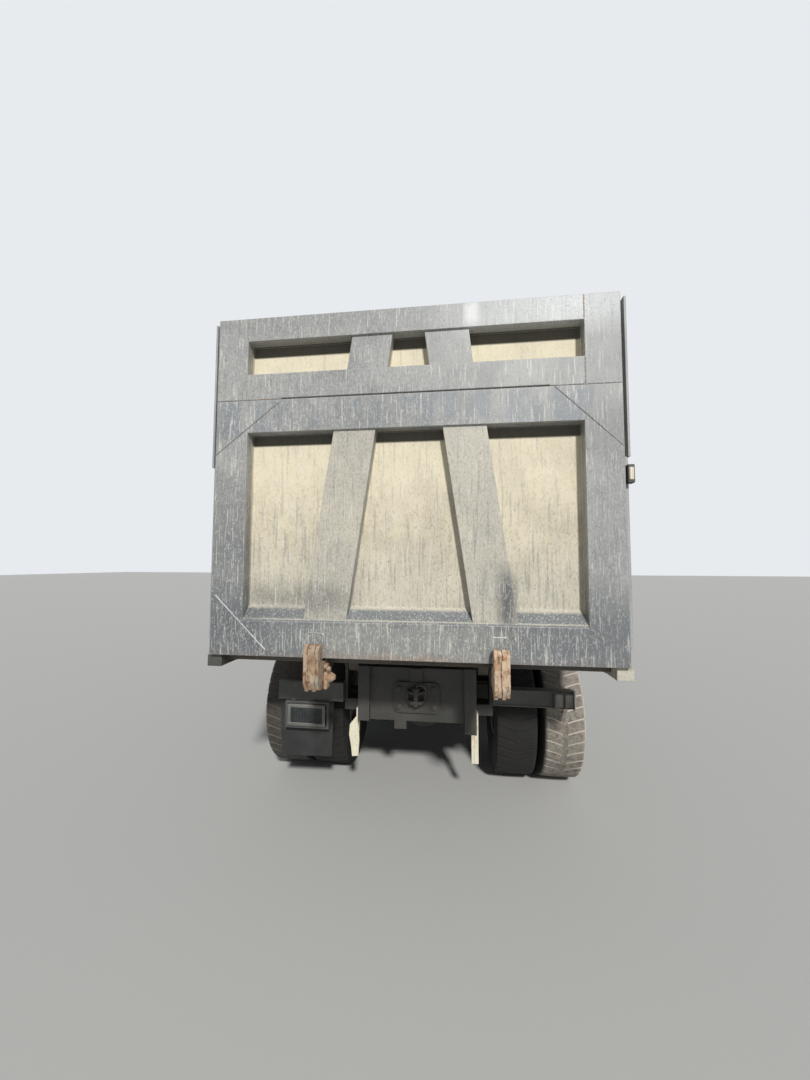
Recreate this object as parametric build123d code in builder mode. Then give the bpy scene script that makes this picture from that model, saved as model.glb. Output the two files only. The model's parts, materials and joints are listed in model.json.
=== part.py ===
from build123d import *
import os
from math import cos, radians, sin

os.makedirs("parts", exist_ok=True)

# A rear-tipping dump truck with three axles: ladder frame, leaf-sprung bogie with twin
# wheels, steered front axle, forward cab that tilts, and a high-sided steel body that is
# lifted by a telescopic hoist at its front and emptied through a top-hung tailgate.
# Millimetres. +Y is forward, +X is the truck's right side, +Z is up from the ground.

# Driving sizes of the whole truck
overall_length = 8325.0
hook_reach = 96.0
wheel_radius = 562.5
tyre_width = 313.0
rim_radius = 262.0
gate_to_last_axle = 1350.0
bogie_spacing = 1400.0
front_overhang = 1504.0
twin_spacing = 346.0
rear_track = 1840.0
front_track = 2036.0
kingpin_half = 860.0
spindle_half = 1190.0
spindle_start = 90.0
spindle_reach = 250.0

# Ladder frame
frame_half = 425.0
rail_height = 300.0
rail_flange = 90.0
rail_plate = 9.0
rail_top = 1020.0
frame_tail = 700.0
run_clear = 0.05
seat_gap = 0.3
fit_gap = 5.0

# Tipping body
gate_width = 2460.0
gate_thick = 100.0
gate_bottom = 1210.0
gate_height = 2136.0
board_height = 536.0
wall_inner = 1150.0
wall_outer = 1250.0
post_outer = 1275.0
floor_top = 1312.0
floor_plate = 12.0
bearer_height = 100.0
hoist_bay = 450.0
front_wall_thick = 80.0
canopy_length = 550.0
tip_pivot_back = 750.0
tip_pivot_height = 1000.0

# Cab
cab_width = 2350.0
cab_length = 1972.0
cab_low = 1130.0
cab_waist = 2000.0
cab_roof = 3000.0
cab_wall = 50.0
cab_floor_plate = 30.0
bumper_depth = 60.0
bumper_lap = 50.0
bumper_reach = 57.0
fender_inset = 10.0
frame_setback = 170.0

# Stations along the truck, worked out from the driving sizes
nose_y = overall_length / 2
cab_front_y = nose_y - bumper_reach
cab_back_y = cab_front_y - cab_length
front_axle_y = nose_y - front_overhang
frame_front = nose_y - frame_setback
gate_y = -nose_y + hook_reach
last_axle_y = gate_y + gate_to_last_axle
first_axle_y = last_axle_y + bogie_spacing
trunnion_y = (last_axle_y + first_axle_y) / 2
frame_rear = gate_y + frame_tail
body_rear = gate_y + gate_thick + fit_gap
body_front = cab_back_y - hoist_bay
body_length = body_front - gate_y
tip_y = gate_y + tip_pivot_back
gate_top = gate_bottom + gate_height
seam_z = gate_top - board_height
rail_bottom = rail_top - rail_height
beam_bottom = rail_top + fit_gap
floor_bottom = floor_top - floor_plate
bearer_bottom = floor_bottom - bearer_height
bumper_half = cab_width / 2 + bumper_lap
cab_floor_low = cab_low + 145.0
cab_floor_top = cab_floor_low + cab_floor_plate

# The engine bay from the front: radiator, engine, bell housing and gearbox
radiator_front = frame_front - 202.5
radiator_thick = 90.0
fan_gap = 60.0
engine_front = radiator_front - radiator_thick - fan_gap
engine_length = 1020.0
engine_half = 330.0
engine_top = 1420.0
engine_rear = engine_front - engine_length
bell_length = 320.0
gearbox_length = 240.0
gearbox_rear = engine_rear - bell_length - gearbox_length

# The bay between the wheels: what hangs beside the frame stands in a row back from the
# front arch, the fuel tank on the right, the air tanks, battery box and silencer on the left
arch_radius = 680.0
arch_plate = 8.0
row_gap = 60.0
bay_rear = first_axle_y + wheel_radius
bay_front = front_axle_y - arch_radius - arch_plate
tank_length = 1200.0
tank_gap = 320.0
air_tank_length = 620.0
air_tank_radius = 125.0
battery_length = 480.0
battery_lip = 10.0
silencer_length = 500.0
silencer_radius = 210.0
tail_pipe = 80.0
tank_front = bay_front - tank_gap
tank_rear = tank_front - tank_length
air_tank_front = bay_front - row_gap
air_tank_rear = air_tank_front - air_tank_length
battery_front = air_tank_rear - row_gap
battery_rear = battery_front - battery_length
silencer_front = battery_rear - row_gap
silencer_rear = silencer_front - silencer_length


def block(x, y, z, mode=Mode.ADD):
    """A box given by its (low, high) along each axis."""
    middle = ((x[0] + x[1]) / 2, (y[0] + y[1]) / 2, (z[0] + z[1]) / 2)
    with Locations(middle):
        Box(x[1] - x[0], y[1] - y[0], z[1] - z[0], mode=mode)


def outline(plane, points, depth, mode=Mode.ADD, corner=0.0):
    """A plate with the given outline, extruded along the plane's normal."""
    with BuildSketch(plane) as face:
        with BuildLine():
            Polyline(*points, close=True)
        make_face()
        if corner > 0:
            fillet(face.vertices(), corner)
    extrude(face.sketch, amount=depth, mode=mode)


def side_plate(points, x, mode=Mode.ADD, corner=0.0):
    """A plate seen from the side: points are (y, z), x is (low, high)."""
    outline(Plane.YZ.offset(x[0]), points, x[1] - x[0], mode, corner)


def end_plate(points, y, mode=Mode.ADD, corner=0.0):
    """A plate seen from behind: points are (x, z), y is (low, high)."""
    outline(Plane.XZ.offset(-y[1]), points, y[1] - y[0], mode, corner)


def top_plate(points, z, mode=Mode.ADD, corner=0.0):
    """A plate seen from above: points are (x, y), z is (low, high)."""
    outline(Plane.XY.offset(z[0]), points, z[1] - z[0], mode, corner)


def round_x(y, z, radius, x, mode=Mode.ADD):
    """A round bar across the truck, x is (low, high)."""
    with BuildSketch(Plane.YZ.offset(x[0])) as disc:
        with Locations((y, z)):
            Circle(radius)
    extrude(disc.sketch, amount=x[1] - x[0], mode=mode)


def round_y(x, z, radius, y, mode=Mode.ADD):
    """A round bar along the truck, y is (low, high)."""
    with BuildSketch(Plane.XZ.offset(-y[1])) as disc:
        with Locations((x, z)):
            Circle(radius)
    extrude(disc.sketch, amount=y[1] - y[0], mode=mode)


def round_z(x, y, radius, z, mode=Mode.ADD):
    """An upright round bar, z is (low, high)."""
    with BuildSketch(Plane.XY.offset(z[0])) as disc:
        with Locations((x, y)):
            Circle(radius)
    extrude(disc.sketch, amount=z[1] - z[0], mode=mode)


def save(part, name):
    part.label = name
    export_step(part, "parts/" + name + ".step")


# Chassis frame: two channel rails with crossmembers, the tail's uprights and the forks
# that hold the tipping pins
upright_width = 85.0
tow_low = 680.0
tow_high = 900.0
upright_bottom = 612.0
upright_foot = 551.0
upright_top = rail_top - 10.0
cross_low = 614.0
cross_high = rail_top - 20.0
cross_plate = 12.0
post_half = 44.0
tongue = (-165.0, -75.0)
tail_face = gate_y + 620.0
fork_outer = 555.0
fork_plate = 20.0
fork_bottom = 660.0
tip_pin = 35.0
fishtail = 60.0
front_spring_x = 425.0
front_spring_half = 780.0
front_eye_z = 655.0
spring_pin = 18.0
cab_pivot_y = cab_front_y - 170.0
hinge_y = cab_front_y - 332.0
cab_pivot_z = 1000.0
cab_pin = 26.0
cab_cheeks = (440.0, 530.0)
arm_low = 500.0
arm_high = rail_top - 60.0
arm_plate = 20.0
arm_width = 50.0
arm_inset = 100.0
arm_knee = (545.0, 760.0)
arm_reach = 1090.0
carried = ((1, tank_rear, tank_front), (-1, air_tank_rear, air_tank_front),
           (-1, battery_rear, battery_front), (-1, silencer_rear, silencer_front))
hoist_y = body_front + 220.0
foot_z = 950.0
foot_pin = 32.0
foot_half = 68.0
cradle_plate = 28.0
tube_radius = 60.0
bay_tube_gap = 104.0
front_tube_radius = 45.0
rear_tube_y = bay_rear + bay_tube_gap
gearbox_tube_y = gearbox_rear - 660.0
# columns: place along the truck, radius
cross_tubes = ((last_axle_y, tube_radius), (trunnion_y, tube_radius), (rear_tube_y, tube_radius),
               ((rear_tube_y + gearbox_tube_y) / 2, tube_radius), (gearbox_tube_y, tube_radius),
               (frame_front - 67.5, front_tube_radius))

with BuildPart() as chassis_frame:
    web = (frame_half - rail_plate, frame_half)
    flange = (frame_half - rail_flange, frame_half)
    rail_outline = [
        (frame_rear, rail_bottom),
        (frame_front, rail_bottom),
        (frame_front, rail_top),
        (frame_rear + fishtail, rail_top),
        (frame_rear, rail_top - fishtail),
    ]
    side_plate(rail_outline, web)
    block(flange, (frame_rear + fishtail, frame_front), (rail_top - rail_plate, rail_top))
    block(flange, (frame_rear, frame_front), (rail_bottom, rail_bottom + rail_plate))
    # uprights under the rails' ends, each an open channel that faces the centre line
    upright = (frame_half - upright_width + 10.0, frame_half + 10.0)
    block(upright, (tail_face, frame_rear + 90.0), (upright_bottom, rail_bottom))
    block(upright, (tail_face, frame_rear), (rail_bottom, upright_top))
    hollow = (upright[0], upright[1] - 12.0)
    block(hollow, (tail_face + 12.0, frame_rear + 78.0), (upright_bottom, rail_bottom), Mode.SUBTRACT)
    # fork of the tipping pin: an outer cheek beside the rail, closed at the bottom
    fork = (frame_rear, frame_rear + 130.0)
    cheek = [
        (fork[0], fork_bottom),
        (fork[1], fork_bottom),
        (fork[1], tip_pivot_height + 20.0),
        (tip_y + 45.0, tip_pivot_height + 55.0),
        (tip_y - 45.0, tip_pivot_height + 55.0),
        (fork[0], tip_pivot_height + 20.0),
    ]
    side_plate(cheek, (fork_outer - fork_plate, fork_outer))
    block((frame_half, fork_outer), fork, (fork_bottom, fork_bottom + 80.0))
    round_x(tip_y, tip_pivot_height, tip_pin, (frame_half - rail_plate, fork_outer + 12.0))
    # hangers of the front springs: an inner cheek under the rail and an outer one beside it
    for end_y in (front_axle_y - front_spring_half, front_axle_y + front_spring_half):
        span = (end_y - 50.0, end_y + 50.0)
        block((front_spring_x - 57.0, front_spring_x - 47.0), span, (front_eye_z - 40.0, rail_bottom))
        block((front_spring_x + 47.0, front_spring_x + 57.0), span, (front_eye_z - 40.0, rail_bottom + 60.0))
        block((frame_half, front_spring_x + 57.0), span, (rail_bottom + 30.0, rail_bottom + 60.0))
        pin_span = (front_spring_x - 57.0, front_spring_x + 57.0)
        round_x(end_y, front_eye_z, spring_pin, pin_span)
    # brackets of the cab's front pivots
    for cheek_x in cab_cheeks:
        side_plate([(cab_pivot_y - 90, rail_top - 200), (cab_pivot_y + 45, rail_top - 200),
                    (cab_pivot_y + 45, cab_pivot_z + 45), (cab_pivot_y - 45, cab_pivot_z + 45)],
                   (cheek_x, cheek_x + 16.0))
    block((frame_half, cab_cheeks[1] + 16.0), (cab_pivot_y - 60, cab_pivot_y + 45),
          (rail_top - 200, rail_top - 160))
    round_x(cab_pivot_y, cab_pivot_z, cab_pin, (frame_half - 10.0, cab_cheeks[1] + 16.0))
    mirror(about=Plane.YZ)
    # arms that carry the tank, the boxes and the silencer
    arm_points = [(frame_half, arm_high), (frame_half + 60, arm_high), arm_knee,
                  (arm_knee[0] + 10, arm_low + arm_plate), (arm_reach, arm_low + arm_plate),
                  (arm_reach, arm_low), (arm_knee[0], arm_low), (frame_half, rail_bottom)]
    for arm_side, load_rear, load_front in carried:
        for arm_y in (load_rear + arm_inset, load_front - arm_inset - arm_width):
            end_plate([(arm_side * x, z) for x, z in arm_points], (arm_y, arm_y + arm_width))
    # cradle of the hoist's foot
    block((-web[0] - 4, web[0] + 4), (hoist_y - 70, hoist_y + 70), (foot_z - 110, foot_z - 70))
    cradle = (foot_half + 2.0, foot_half + 2.0 + cradle_plate)
    for side in (-1, 1):
        block(sorted((side * cradle[0], side * cradle[1])), (hoist_y - 50, hoist_y + 50),
              (foot_z - 70, foot_z + 45))
    round_x(hoist_y, foot_z, foot_pin, (-cradle[1], cradle[1]))
    for tube_y, radius in cross_tubes:
        round_x(tube_y, rail_top - rail_height / 2, radius, (-web[0] - 4, web[0] + 4))
    # the right upright's longer foot
    block(upright, (tail_face, tail_face + 60.0), (upright_foot, upright_bottom + 1.0))
    # tail crossmember behind the tow plate, with turned edges, a short post and a tongue
    cross_face = tail_face + 30.0
    block((-upright[0], upright[0]), (cross_face, cross_face + cross_plate), (cross_low, cross_high))
    for edge_z in (cross_low, cross_high - cross_plate):
        block((-upright[0], upright[0]), (cross_face, cross_face + 80.0), (edge_z, edge_z + cross_plate))
    block((-post_half, post_half), (cross_face - 18.0, cross_face + 1.0), (tow_high + fit_gap, cross_high))
    block(tongue, (cross_face, cross_face + cross_plate), (cross_low - 60.0, cross_low + 1.0))
save(chassis_frame.part, "chassis_frame")

# Tow coupling: a rounded plate with a fork-like jaw for a pinned drawbar
tow_width = 340.0
tow_plate = 18.0
jaw_pin = 20.0
jaw_half = 70.0
jaw_reach = 66.0
jaw_z = (762.0, 850.0)
jaw_plate = 18.0
tow_face = tail_face + 30.0 - seat_gap - tow_plate

with BuildPart() as tow_coupling:
    with BuildSketch(Plane.XZ.offset(-(tow_face + tow_plate))):
        with Locations((0, (tow_low + tow_high) / 2)):
            RectangleRounded(tow_width, tow_high - tow_low, 45.0)
    extrude(amount=tow_plate)
    jaw = [(-jaw_half, 0), (-jaw_half, -20), (-jaw_half / 2, -jaw_reach), (jaw_half / 2, -jaw_reach),
           (jaw_half, -20), (jaw_half, 0)]
    for lug_z in (jaw_z[0], jaw_z[1] - jaw_plate):
        top_plate([(x, tow_face + y) for x, y in jaw], (lug_z, lug_z + jaw_plate))
    for side in (-1, 1):
        block(sorted((side * (jaw_half - 14.0), side * jaw_half)), (tow_face - 20.0, tow_face), jaw_z)
    round_z(0, tow_face - jaw_reach + 30.0, jaw_pin, (jaw_z[0] - 20.0, jaw_z[1] + 20.0), Mode.SUBTRACT)
save(tow_coupling.part, "tow_coupling")

# Hangers of the missing underrun bar: a straight strap at the right and a bent one at the left
strap = 12.0
strap_outer = frame_half + 10.0 + seat_gap + strap
strap_y = (tail_face + 5.0, tail_face + 5.0 + strap)
strap_top = 700.0
strap_face = (upright_foot - fit_gap, 348.0)
with BuildPart() as guard_hangers:
    for side in (-1, 1):
        block(sorted((side * (strap_outer - strap), side * strap_outer)), (strap_y[0], tail_face + 70.0),
              (strap_face[0] - 40.0, strap_top))
    block((strap_outer - 50.0, strap_outer), strap_y, (strap_face[1], strap_face[0]))
    bent = [(strap - strap_outer, 640), (strap - strap_outer, 590), (-428, 556), (-424, 470),
            (-430, 353), (-478, 348), (-486, 420), (-502, 505), (-496, 580), (-strap_outer, 640)]
    end_plate(bent, strap_y)
save(guard_hangers.part, "guard_hangers")

# Lamp brackets: a bar outboard of the frame on each side; the left one carries a framed
# lamp guard and the right one ends in its lamp box
bracket_y = (frame_rear - 60.0, frame_rear - 20.0)
bar_low = 756.0
bar_high = 872.0
left_bar = (732.0, 868.0)
guard_x = (-998.0, -661.0)
guard_z = (533.0, 729.0)
guard_rim = 16.0
lamp_cells = 3
cell_pitch = 98.0
cell_gap = 6.0
with BuildPart() as lamp_brackets:
    arm = (fork_outer + seat_gap, 1112.0)
    block(arm, (bracket_y[0] + 8.0, bracket_y[1]), (bar_low, bar_high))
    block(arm, (bracket_y[0], bracket_y[1] + 40.0), (bar_high - 8.0, bar_high))
    block(arm, (bracket_y[0], bracket_y[1] + 40.0), (bar_low, bar_low + 8.0))
    block((arm[0], arm[0] + 12.0), (bracket_y[0], frame_rear + 120.0), (bar_low, bar_high))
    left_arm = (-1067.0, -fork_outer - seat_gap)
    block(left_arm, (bracket_y[0] + 8.0, bracket_y[1]), left_bar)
    block((left_arm[1] - 12.0, left_arm[1]), (bracket_y[0], frame_rear + 120.0), left_bar)
    block(guard_x, (bracket_y[0] - 20.0, bracket_y[1]), guard_z)
    block((guard_x[0] + guard_rim, guard_x[1] - guard_rim), (bracket_y[0] - 20.0, bracket_y[1] - 10),
          (guard_z[0] + guard_rim, guard_z[1] - guard_rim), Mode.SUBTRACT)
    for hanger_x in (-960.0, -720.0):
        block((hanger_x, hanger_x + 30.0), bracket_y, (guard_z[1] - 4.0, left_bar[0] + 8.0))
save(lamp_brackets.part, "lamp_brackets")

# Tail lamps: a box with three lenses in the left guard, and one in the end of the right bar
with BuildPart() as tail_lamps:
    for cell in range(lamp_cells):
        cell_x = guard_x[0] + guard_rim + cell_gap + cell * cell_pitch
        block((cell_x, cell_x + cell_pitch - cell_gap), (bracket_y[0] - 26.0, bracket_y[1] - 10.0 - seat_gap),
              (guard_z[0] + guard_rim + 7.0, guard_z[1] - guard_rim - 7.0))
    for cell in range(2):
        cell_x = 975.0 + cell * 68.0
        block((cell_x, cell_x + 64.0), (bracket_y[0] - 24.0, bracket_y[0] - seat_gap),
              (bar_low + 8.0, bar_high - 8.0))
save(tail_lamps.part, "tail_lamps")

# Mud flap behind the left twin wheels
with BuildPart() as mud_flap:
    flap_y = (bracket_y[1] + seat_gap, bracket_y[1] + seat_gap + 8.0)
    end_plate([(-1060, 730), (-640, 730), (-648, 310), (-1046, 298)], flap_y, corner=12.0)
save(mud_flap.part, "mud_flap")

# Bogie: two driven axles with round differential housings, on inverted leaf springs
axle_tube = 72.0
axle_end = 905.0
bowl_radius = 215.0
bowl_half = 150.0
bogie_spring_x = 520.0
spring_width = 90.0
spring_seat = 724.0
stub_radius = 55.0

with BuildPart() as rear_axles:
    for axle_y in (last_axle_y, first_axle_y):
        round_x(axle_y, wheel_radius, axle_tube, (-axle_end + 260.0, axle_end - 260.0))
        round_x(axle_y, wheel_radius, stub_radius, (-spindle_half, spindle_half))
        with BuildSketch(Plane.XZ.offset(-(axle_y + 120.0))):
            with Locations((0, wheel_radius)):
                Circle(bowl_radius)
        extrude(amount=240.0)
        round_y(0, wheel_radius, 130.0, (axle_y - 190.0, axle_y - 119.0))
        round_y(0, wheel_radius + 60.0, 95.0, (axle_y + 119.0, axle_y + 260.0))
        for seat_side in (-1, 1):
            seat_x = sorted((seat_side * (bogie_spring_x - 60.0), seat_side * (bogie_spring_x + 60.0)))
            block(seat_x, (axle_y - 90.0, axle_y + 90.0), (wheel_radius + 40.0, spring_seat))
    # torque rods that hold the axles fore and aft, two to each axle
    for axle_y in (last_axle_y, first_axle_y):
        towards = 1 if axle_y < trunnion_y else -1
        for side in (-1, 1):
            rod_x = side * 330.0
            start = axle_y + towards * (axle_tube + 28.0)
            end = trunnion_y - towards * 62.0
            round_y(rod_x, wheel_radius, 24.0, sorted((start, end)))
            for eye_y in (start, end):
                round_x(eye_y, wheel_radius, 28.0, sorted((rod_x - side * 30.0, rod_x + side * 30.0)))
save(rear_axles.part, "rear_axles")

# Bogie springs: leaves curved like a bow, longest at the bottom, clamped on the trunnion
leaf = 20.0
leaf_count = 9
spring_rise = 110.0
spring_half = bogie_spacing / 2 + 80.0
leaf_step = 68.0


def arched_leaf(middle_y, base_z, half_length, rise, low, thick, x):
    """One curved leaf: base_z is the ends' height of the lowest leaf, low its own offset."""
    share = half_length / spring_half
    drop = rise * share * share
    crown = base_z + rise + low
    ends = crown - drop
    with BuildSketch(Plane.YZ.offset(x[0])) as leaf_side:
        with BuildLine():
            ThreePointArc((middle_y - half_length, ends), (middle_y, crown), (middle_y + half_length, ends))
            Line((middle_y + half_length, ends), (middle_y + half_length, ends + thick))
            ThreePointArc((middle_y + half_length, ends + thick), (middle_y, crown + thick),
                          (middle_y - half_length, ends + thick))
            Line((middle_y - half_length, ends + thick), (middle_y - half_length, ends))
        make_face()
    extrude(leaf_side.sketch, amount=x[1] - x[0])


with BuildPart() as bogie_springs:
    for number in range(leaf_count):
        half_length = spring_half - number * leaf_step
        arched_leaf(trunnion_y, spring_seat + seat_gap, half_length, spring_rise, number * leaf, leaf,
                    (bogie_spring_x - spring_width / 2, bogie_spring_x + spring_width / 2))
    mirror(about=Plane.YZ)
# Trunnion: a cross tube below the springs with a saddle under each and brackets to the rails
trunnion_z = 640.0
saddle_top = spring_seat + spring_rise - 2.0
with BuildPart() as bogie_trunnion:
    for side in (-1, 1):
        saddle_x = sorted((side * (bogie_spring_x - 60.0), side * (bogie_spring_x + 60.0)))
        round_x(trunnion_y, trunnion_z, 95.0, saddle_x)
        round_x(trunnion_y, trunnion_z, 60.0, sorted((side * frame_half, side * (bogie_spring_x + 80.0))))
        block(saddle_x, (trunnion_y - 95.0, trunnion_y + 95.0), (trunnion_z, saddle_top - seat_gap))
        bracket_x = sorted((side * (frame_half + seat_gap), side * (frame_half + 28.0)))
        bracket_points = [(trunnion_y - 230, rail_top - 60), (trunnion_y + 230, rail_top - 60),
                          (trunnion_y + 80, trunnion_z - 70), (trunnion_y - 80, trunnion_z - 70)]
        side_plate(bracket_points, bracket_x)
save(bogie_trunnion.part, "bogie_trunnion")

# Twin wheels: tyre outline with flat tread, sloped shoulders and bulged walls, in flat
# sectors about the wheel's axis
tread_half = 125.0
shoulder_drop = 48.0
tyre_sectors = 36
bead_set = 40.0


def tyre_ring(middle_x):
    """A tyre about the X axis through the wheel centre, its outline set round in flat sectors."""
    half = tyre_width / 2
    bore = rim_radius / cos(radians(180.0 / tyre_sectors))
    wall_middle = (wheel_radius + rim_radius) / 2
    # columns: distance from the tyre's middle plane, radius
    half_outline = ((-tread_half, wheel_radius), (tread_half, wheel_radius),
                    (half - 6.0, wheel_radius - shoulder_drop), (half, wall_middle),
                    (half - bead_set, bore), (bead_set - half, bore), (-half, wall_middle),
                    (6.0 - half, wheel_radius - shoulder_drop))
    rings = []
    for across, radius in half_outline:
        turns = [radians(number * 360.0 / tyre_sectors) for number in range(tyre_sectors)]
        rings.append([Vector(middle_x + across, radius * cos(turn), radius * sin(turn)) for turn in turns])
    flats = []
    for ring, following in zip(rings, rings[1:] + rings[:1]):
        for number in range(tyre_sectors):
            after = (number + 1) % tyre_sectors
            corners = (ring[number], ring[after], following[after], following[number])
            flats.append(Face(Wire.make_polygon(corners, close=True)))
    add(Solid(Shell(flats)))


rear_tyre_x = (rear_track / 2 - twin_spacing / 2, rear_track / 2 + twin_spacing / 2)
drum_radius = 205.0
hub_radius = 110.0
rim_plate = 12.0
bead_radius = rim_radius - seat_gap
rim_half = tyre_width / 2 - 30.0
disc_thick = 16.0


def rim_profile(middle_x, face_x, toward):
    """Rim barrel and its dished disc, which ends at face_x on the side given by toward."""
    inside = bead_radius - rim_plate + 2.0
    with BuildSketch(Plane.XY) as section:
        with BuildLine():
            Polyline((middle_x - rim_half, bead_radius - rim_plate), (middle_x - rim_half, bead_radius),
                     (middle_x + rim_half, bead_radius), (middle_x + rim_half, bead_radius - rim_plate),
                     close=True)
        make_face()
        with BuildLine():
            Polyline((middle_x + toward * 60.0, inside), (middle_x + toward * 100.0, inside),
                     (face_x, 200.0), (face_x, 40.0), (face_x - toward * disc_thick, 40.0),
                     (face_x - toward * disc_thick, 190.0), close=True)
        make_face()
    revolve(section.sketch, axis=Axis.X)


def round_wheel(x, radius, width, mode=Mode.ADD):
    with BuildSketch(Plane.YZ.offset(x)) as disc:
        Circle(radius)
    extrude(disc.sketch, amount=width, mode=mode)


for axle_name, axle_y in (("last", last_axle_y), ("first", first_axle_y)):
    for side_name, side in (("left", -1), ("right", 1)):
        with BuildPart() as tyres:
            for tyre_x in rear_tyre_x:
                tyre_ring(side * tyre_x)
        save(tyres.part.moved(Location((0, axle_y, wheel_radius))), f"tyres_{axle_name}_{side_name}")
        with BuildPart() as wheels:
            joint_x = side * rear_track / 2
            inner_x, outer_x = side * rear_tyre_x[0], side * rear_tyre_x[1]
            rim_profile(inner_x, joint_x, side)
            rim_profile(outer_x, joint_x, -side)
            drum = sorted((side * (rear_track / 2 - 250.0), joint_x))
            round_wheel(drum[0], drum_radius, drum[1] - drum[0])
            hub = sorted((joint_x, side * (rear_track / 2 + 230.0)))
            round_wheel(hub[0], hub_radius, hub[1] - hub[0])
            bore = sorted((side * 600.0, side * (spindle_half + seat_gap)))
            round_wheel(bore[0], stub_radius + run_clear, bore[1] - bore[0], Mode.SUBTRACT)
        save(wheels.part.moved(Location((0, axle_y, wheel_radius))), f"wheels_{axle_name}_{side_name}")

# Propeller shafts: gearbox to first axle, and between the axles, with joint flanges
gearbox_out_z = 760.0
flange_radius = 75.0
flange_thick = 50.0
shaft_radius = 45.0
with BuildPart() as propeller_shafts:
    first_pinion = (0, first_axle_y + 260.0 + seat_gap, wheel_radius + 60.0)
    gearbox_out = (0, gearbox_rear - seat_gap, gearbox_out_z)
    axle_link = (0, first_axle_y - 190.0 - seat_gap, wheel_radius)
    last_pinion = (0, last_axle_y + 260.0 + seat_gap, wheel_radius + 60.0)
    for start, end in ((first_pinion, gearbox_out), (last_pinion, axle_link)):
        round_y(0, start[2], flange_radius, (start[1], start[1] + flange_thick))
        round_y(0, end[2], flange_radius, (end[1] - flange_thick, end[1]))
        shaft_start = Vector(0, start[1] + flange_thick - 10.0, start[2])
        shaft_run = Vector(0, end[1] - flange_thick + 10.0, end[2]) - shaft_start
        with BuildSketch(Plane(origin=shaft_start, z_dir=shaft_run)) as shaft_end:
            Circle(shaft_radius)
        extrude(shaft_end.sketch, amount=shaft_run.length)
save(propeller_shafts.part, "propeller_shafts")

# Engine with its gearbox, plain blocks at their place, and the radiator ahead of them
block_bottom = 740.0
sump_bottom = 640.0
sump_half = 240.0
bell_radius = 255.0
gearbox_half = 180.0
gearbox_z = (670.0, 1050.0)
with BuildPart() as engine:
    block((-engine_half, engine_half), (engine_rear, engine_front), (block_bottom, engine_top))
    block((-sump_half, sump_half), (engine_rear + 80, engine_front - 80), (sump_bottom, block_bottom))
    chamfer(engine.edges().filter_by(Axis.Y).group_by(Axis.Z)[-1], 90.0)
    with BuildSketch(Plane.XZ.offset(-engine_rear - 1.0)) as bell:
        with Locations((0, 900.0)):
            Circle(bell_radius)
    with BuildSketch(Plane.XZ.offset(-(engine_rear - bell_length))) as box_front:
        with Locations((0, (gearbox_z[0] + gearbox_z[1]) / 2)):
            Rectangle(2 * gearbox_half, gearbox_z[1] - gearbox_z[0])
    loft([bell.sketch, box_front.sketch])
    block((-gearbox_half, gearbox_half), (gearbox_rear, engine_rear - bell_length + 1.0), gearbox_z)
save(engine.part, "engine")

radiator_half = frame_half - rail_flange - seat_gap
with BuildPart() as radiator:
    block((-radiator_half, radiator_half), (radiator_front - radiator_thick, radiator_front),
          (690.0, 1180.0))
save(radiator.part, "radiator")

# Fuel tank with rounded edges and two straps, on the right
tank_low = arm_low + arm_plate + seat_gap
tank_x = 850.0
tank_width = 560.0
tank_height = 550.0
tank_corner = 95.0
strap_proud = 3.0
with BuildPart() as fuel_tank:
    with BuildSketch(Plane.XZ.offset(-tank_front)) as tank_end:
        with Locations((tank_x, tank_low + tank_height / 2)):
            RectangleRounded(tank_width, tank_height, tank_corner)
    extrude(tank_end.sketch, amount=tank_length)
    for strap_y in (tank_rear + arm_inset + arm_width, tank_front - arm_inset):
        with BuildSketch(Plane.XZ.offset(-strap_y)) as band:
            with Locations((tank_x, tank_low + tank_height / 2 + strap_proud / 3)):
                RectangleRounded(tank_width + 2 * strap_proud, tank_height + 2 * strap_proud / 3,
                                 tank_corner + strap_proud / 3)
        extrude(band.sketch, amount=arm_width)
    round_z(tank_x + 180.0, tank_front - 90.0, 45.0, (tank_low + tank_height - 80.0, tank_low + tank_height + 30.0))
save(fuel_tank.part, "fuel_tank")

# Air tanks: two round tanks side by side, on the left
with BuildPart() as air_tanks:
    for air_tank_x in (-700.0, -970.0):
        round_y(air_tank_x, tank_low + air_tank_radius, air_tank_radius, (air_tank_rear, air_tank_front))
    chamfer(air_tanks.edges().filter_by(GeomType.CIRCLE), 25.0)
save(air_tanks.part, "air_tanks")

# Battery box with a lid that has a rolled edge
battery_x = (-1080.0, -580.0)
battery_height = 330.0
with BuildPart() as battery_box:
    block(battery_x, (battery_rear, battery_front), (tank_low, tank_low + battery_height))
    block((battery_x[0] - battery_lip, battery_x[1] + battery_lip),
          (battery_rear - battery_lip, battery_front + battery_lip),
          (tank_low + battery_height, tank_low + battery_height + 40.0))
    chamfer(battery_box.faces().sort_by(Axis.Z)[-1].edges(), 14.0)
save(battery_box.part, "battery_box")

# Silencer: a round drum across the left side with its tail pipe
silencer_x = -820.0
with BuildPart() as silencer:
    round_y(silencer_x, tank_low + silencer_radius, silencer_radius, (silencer_rear, silencer_front))
    round_y(silencer_x, tank_low + silencer_radius, 55.0, (silencer_rear - tail_pipe, silencer_rear + 1.0))
save(silencer.part, "silencer")

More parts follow.
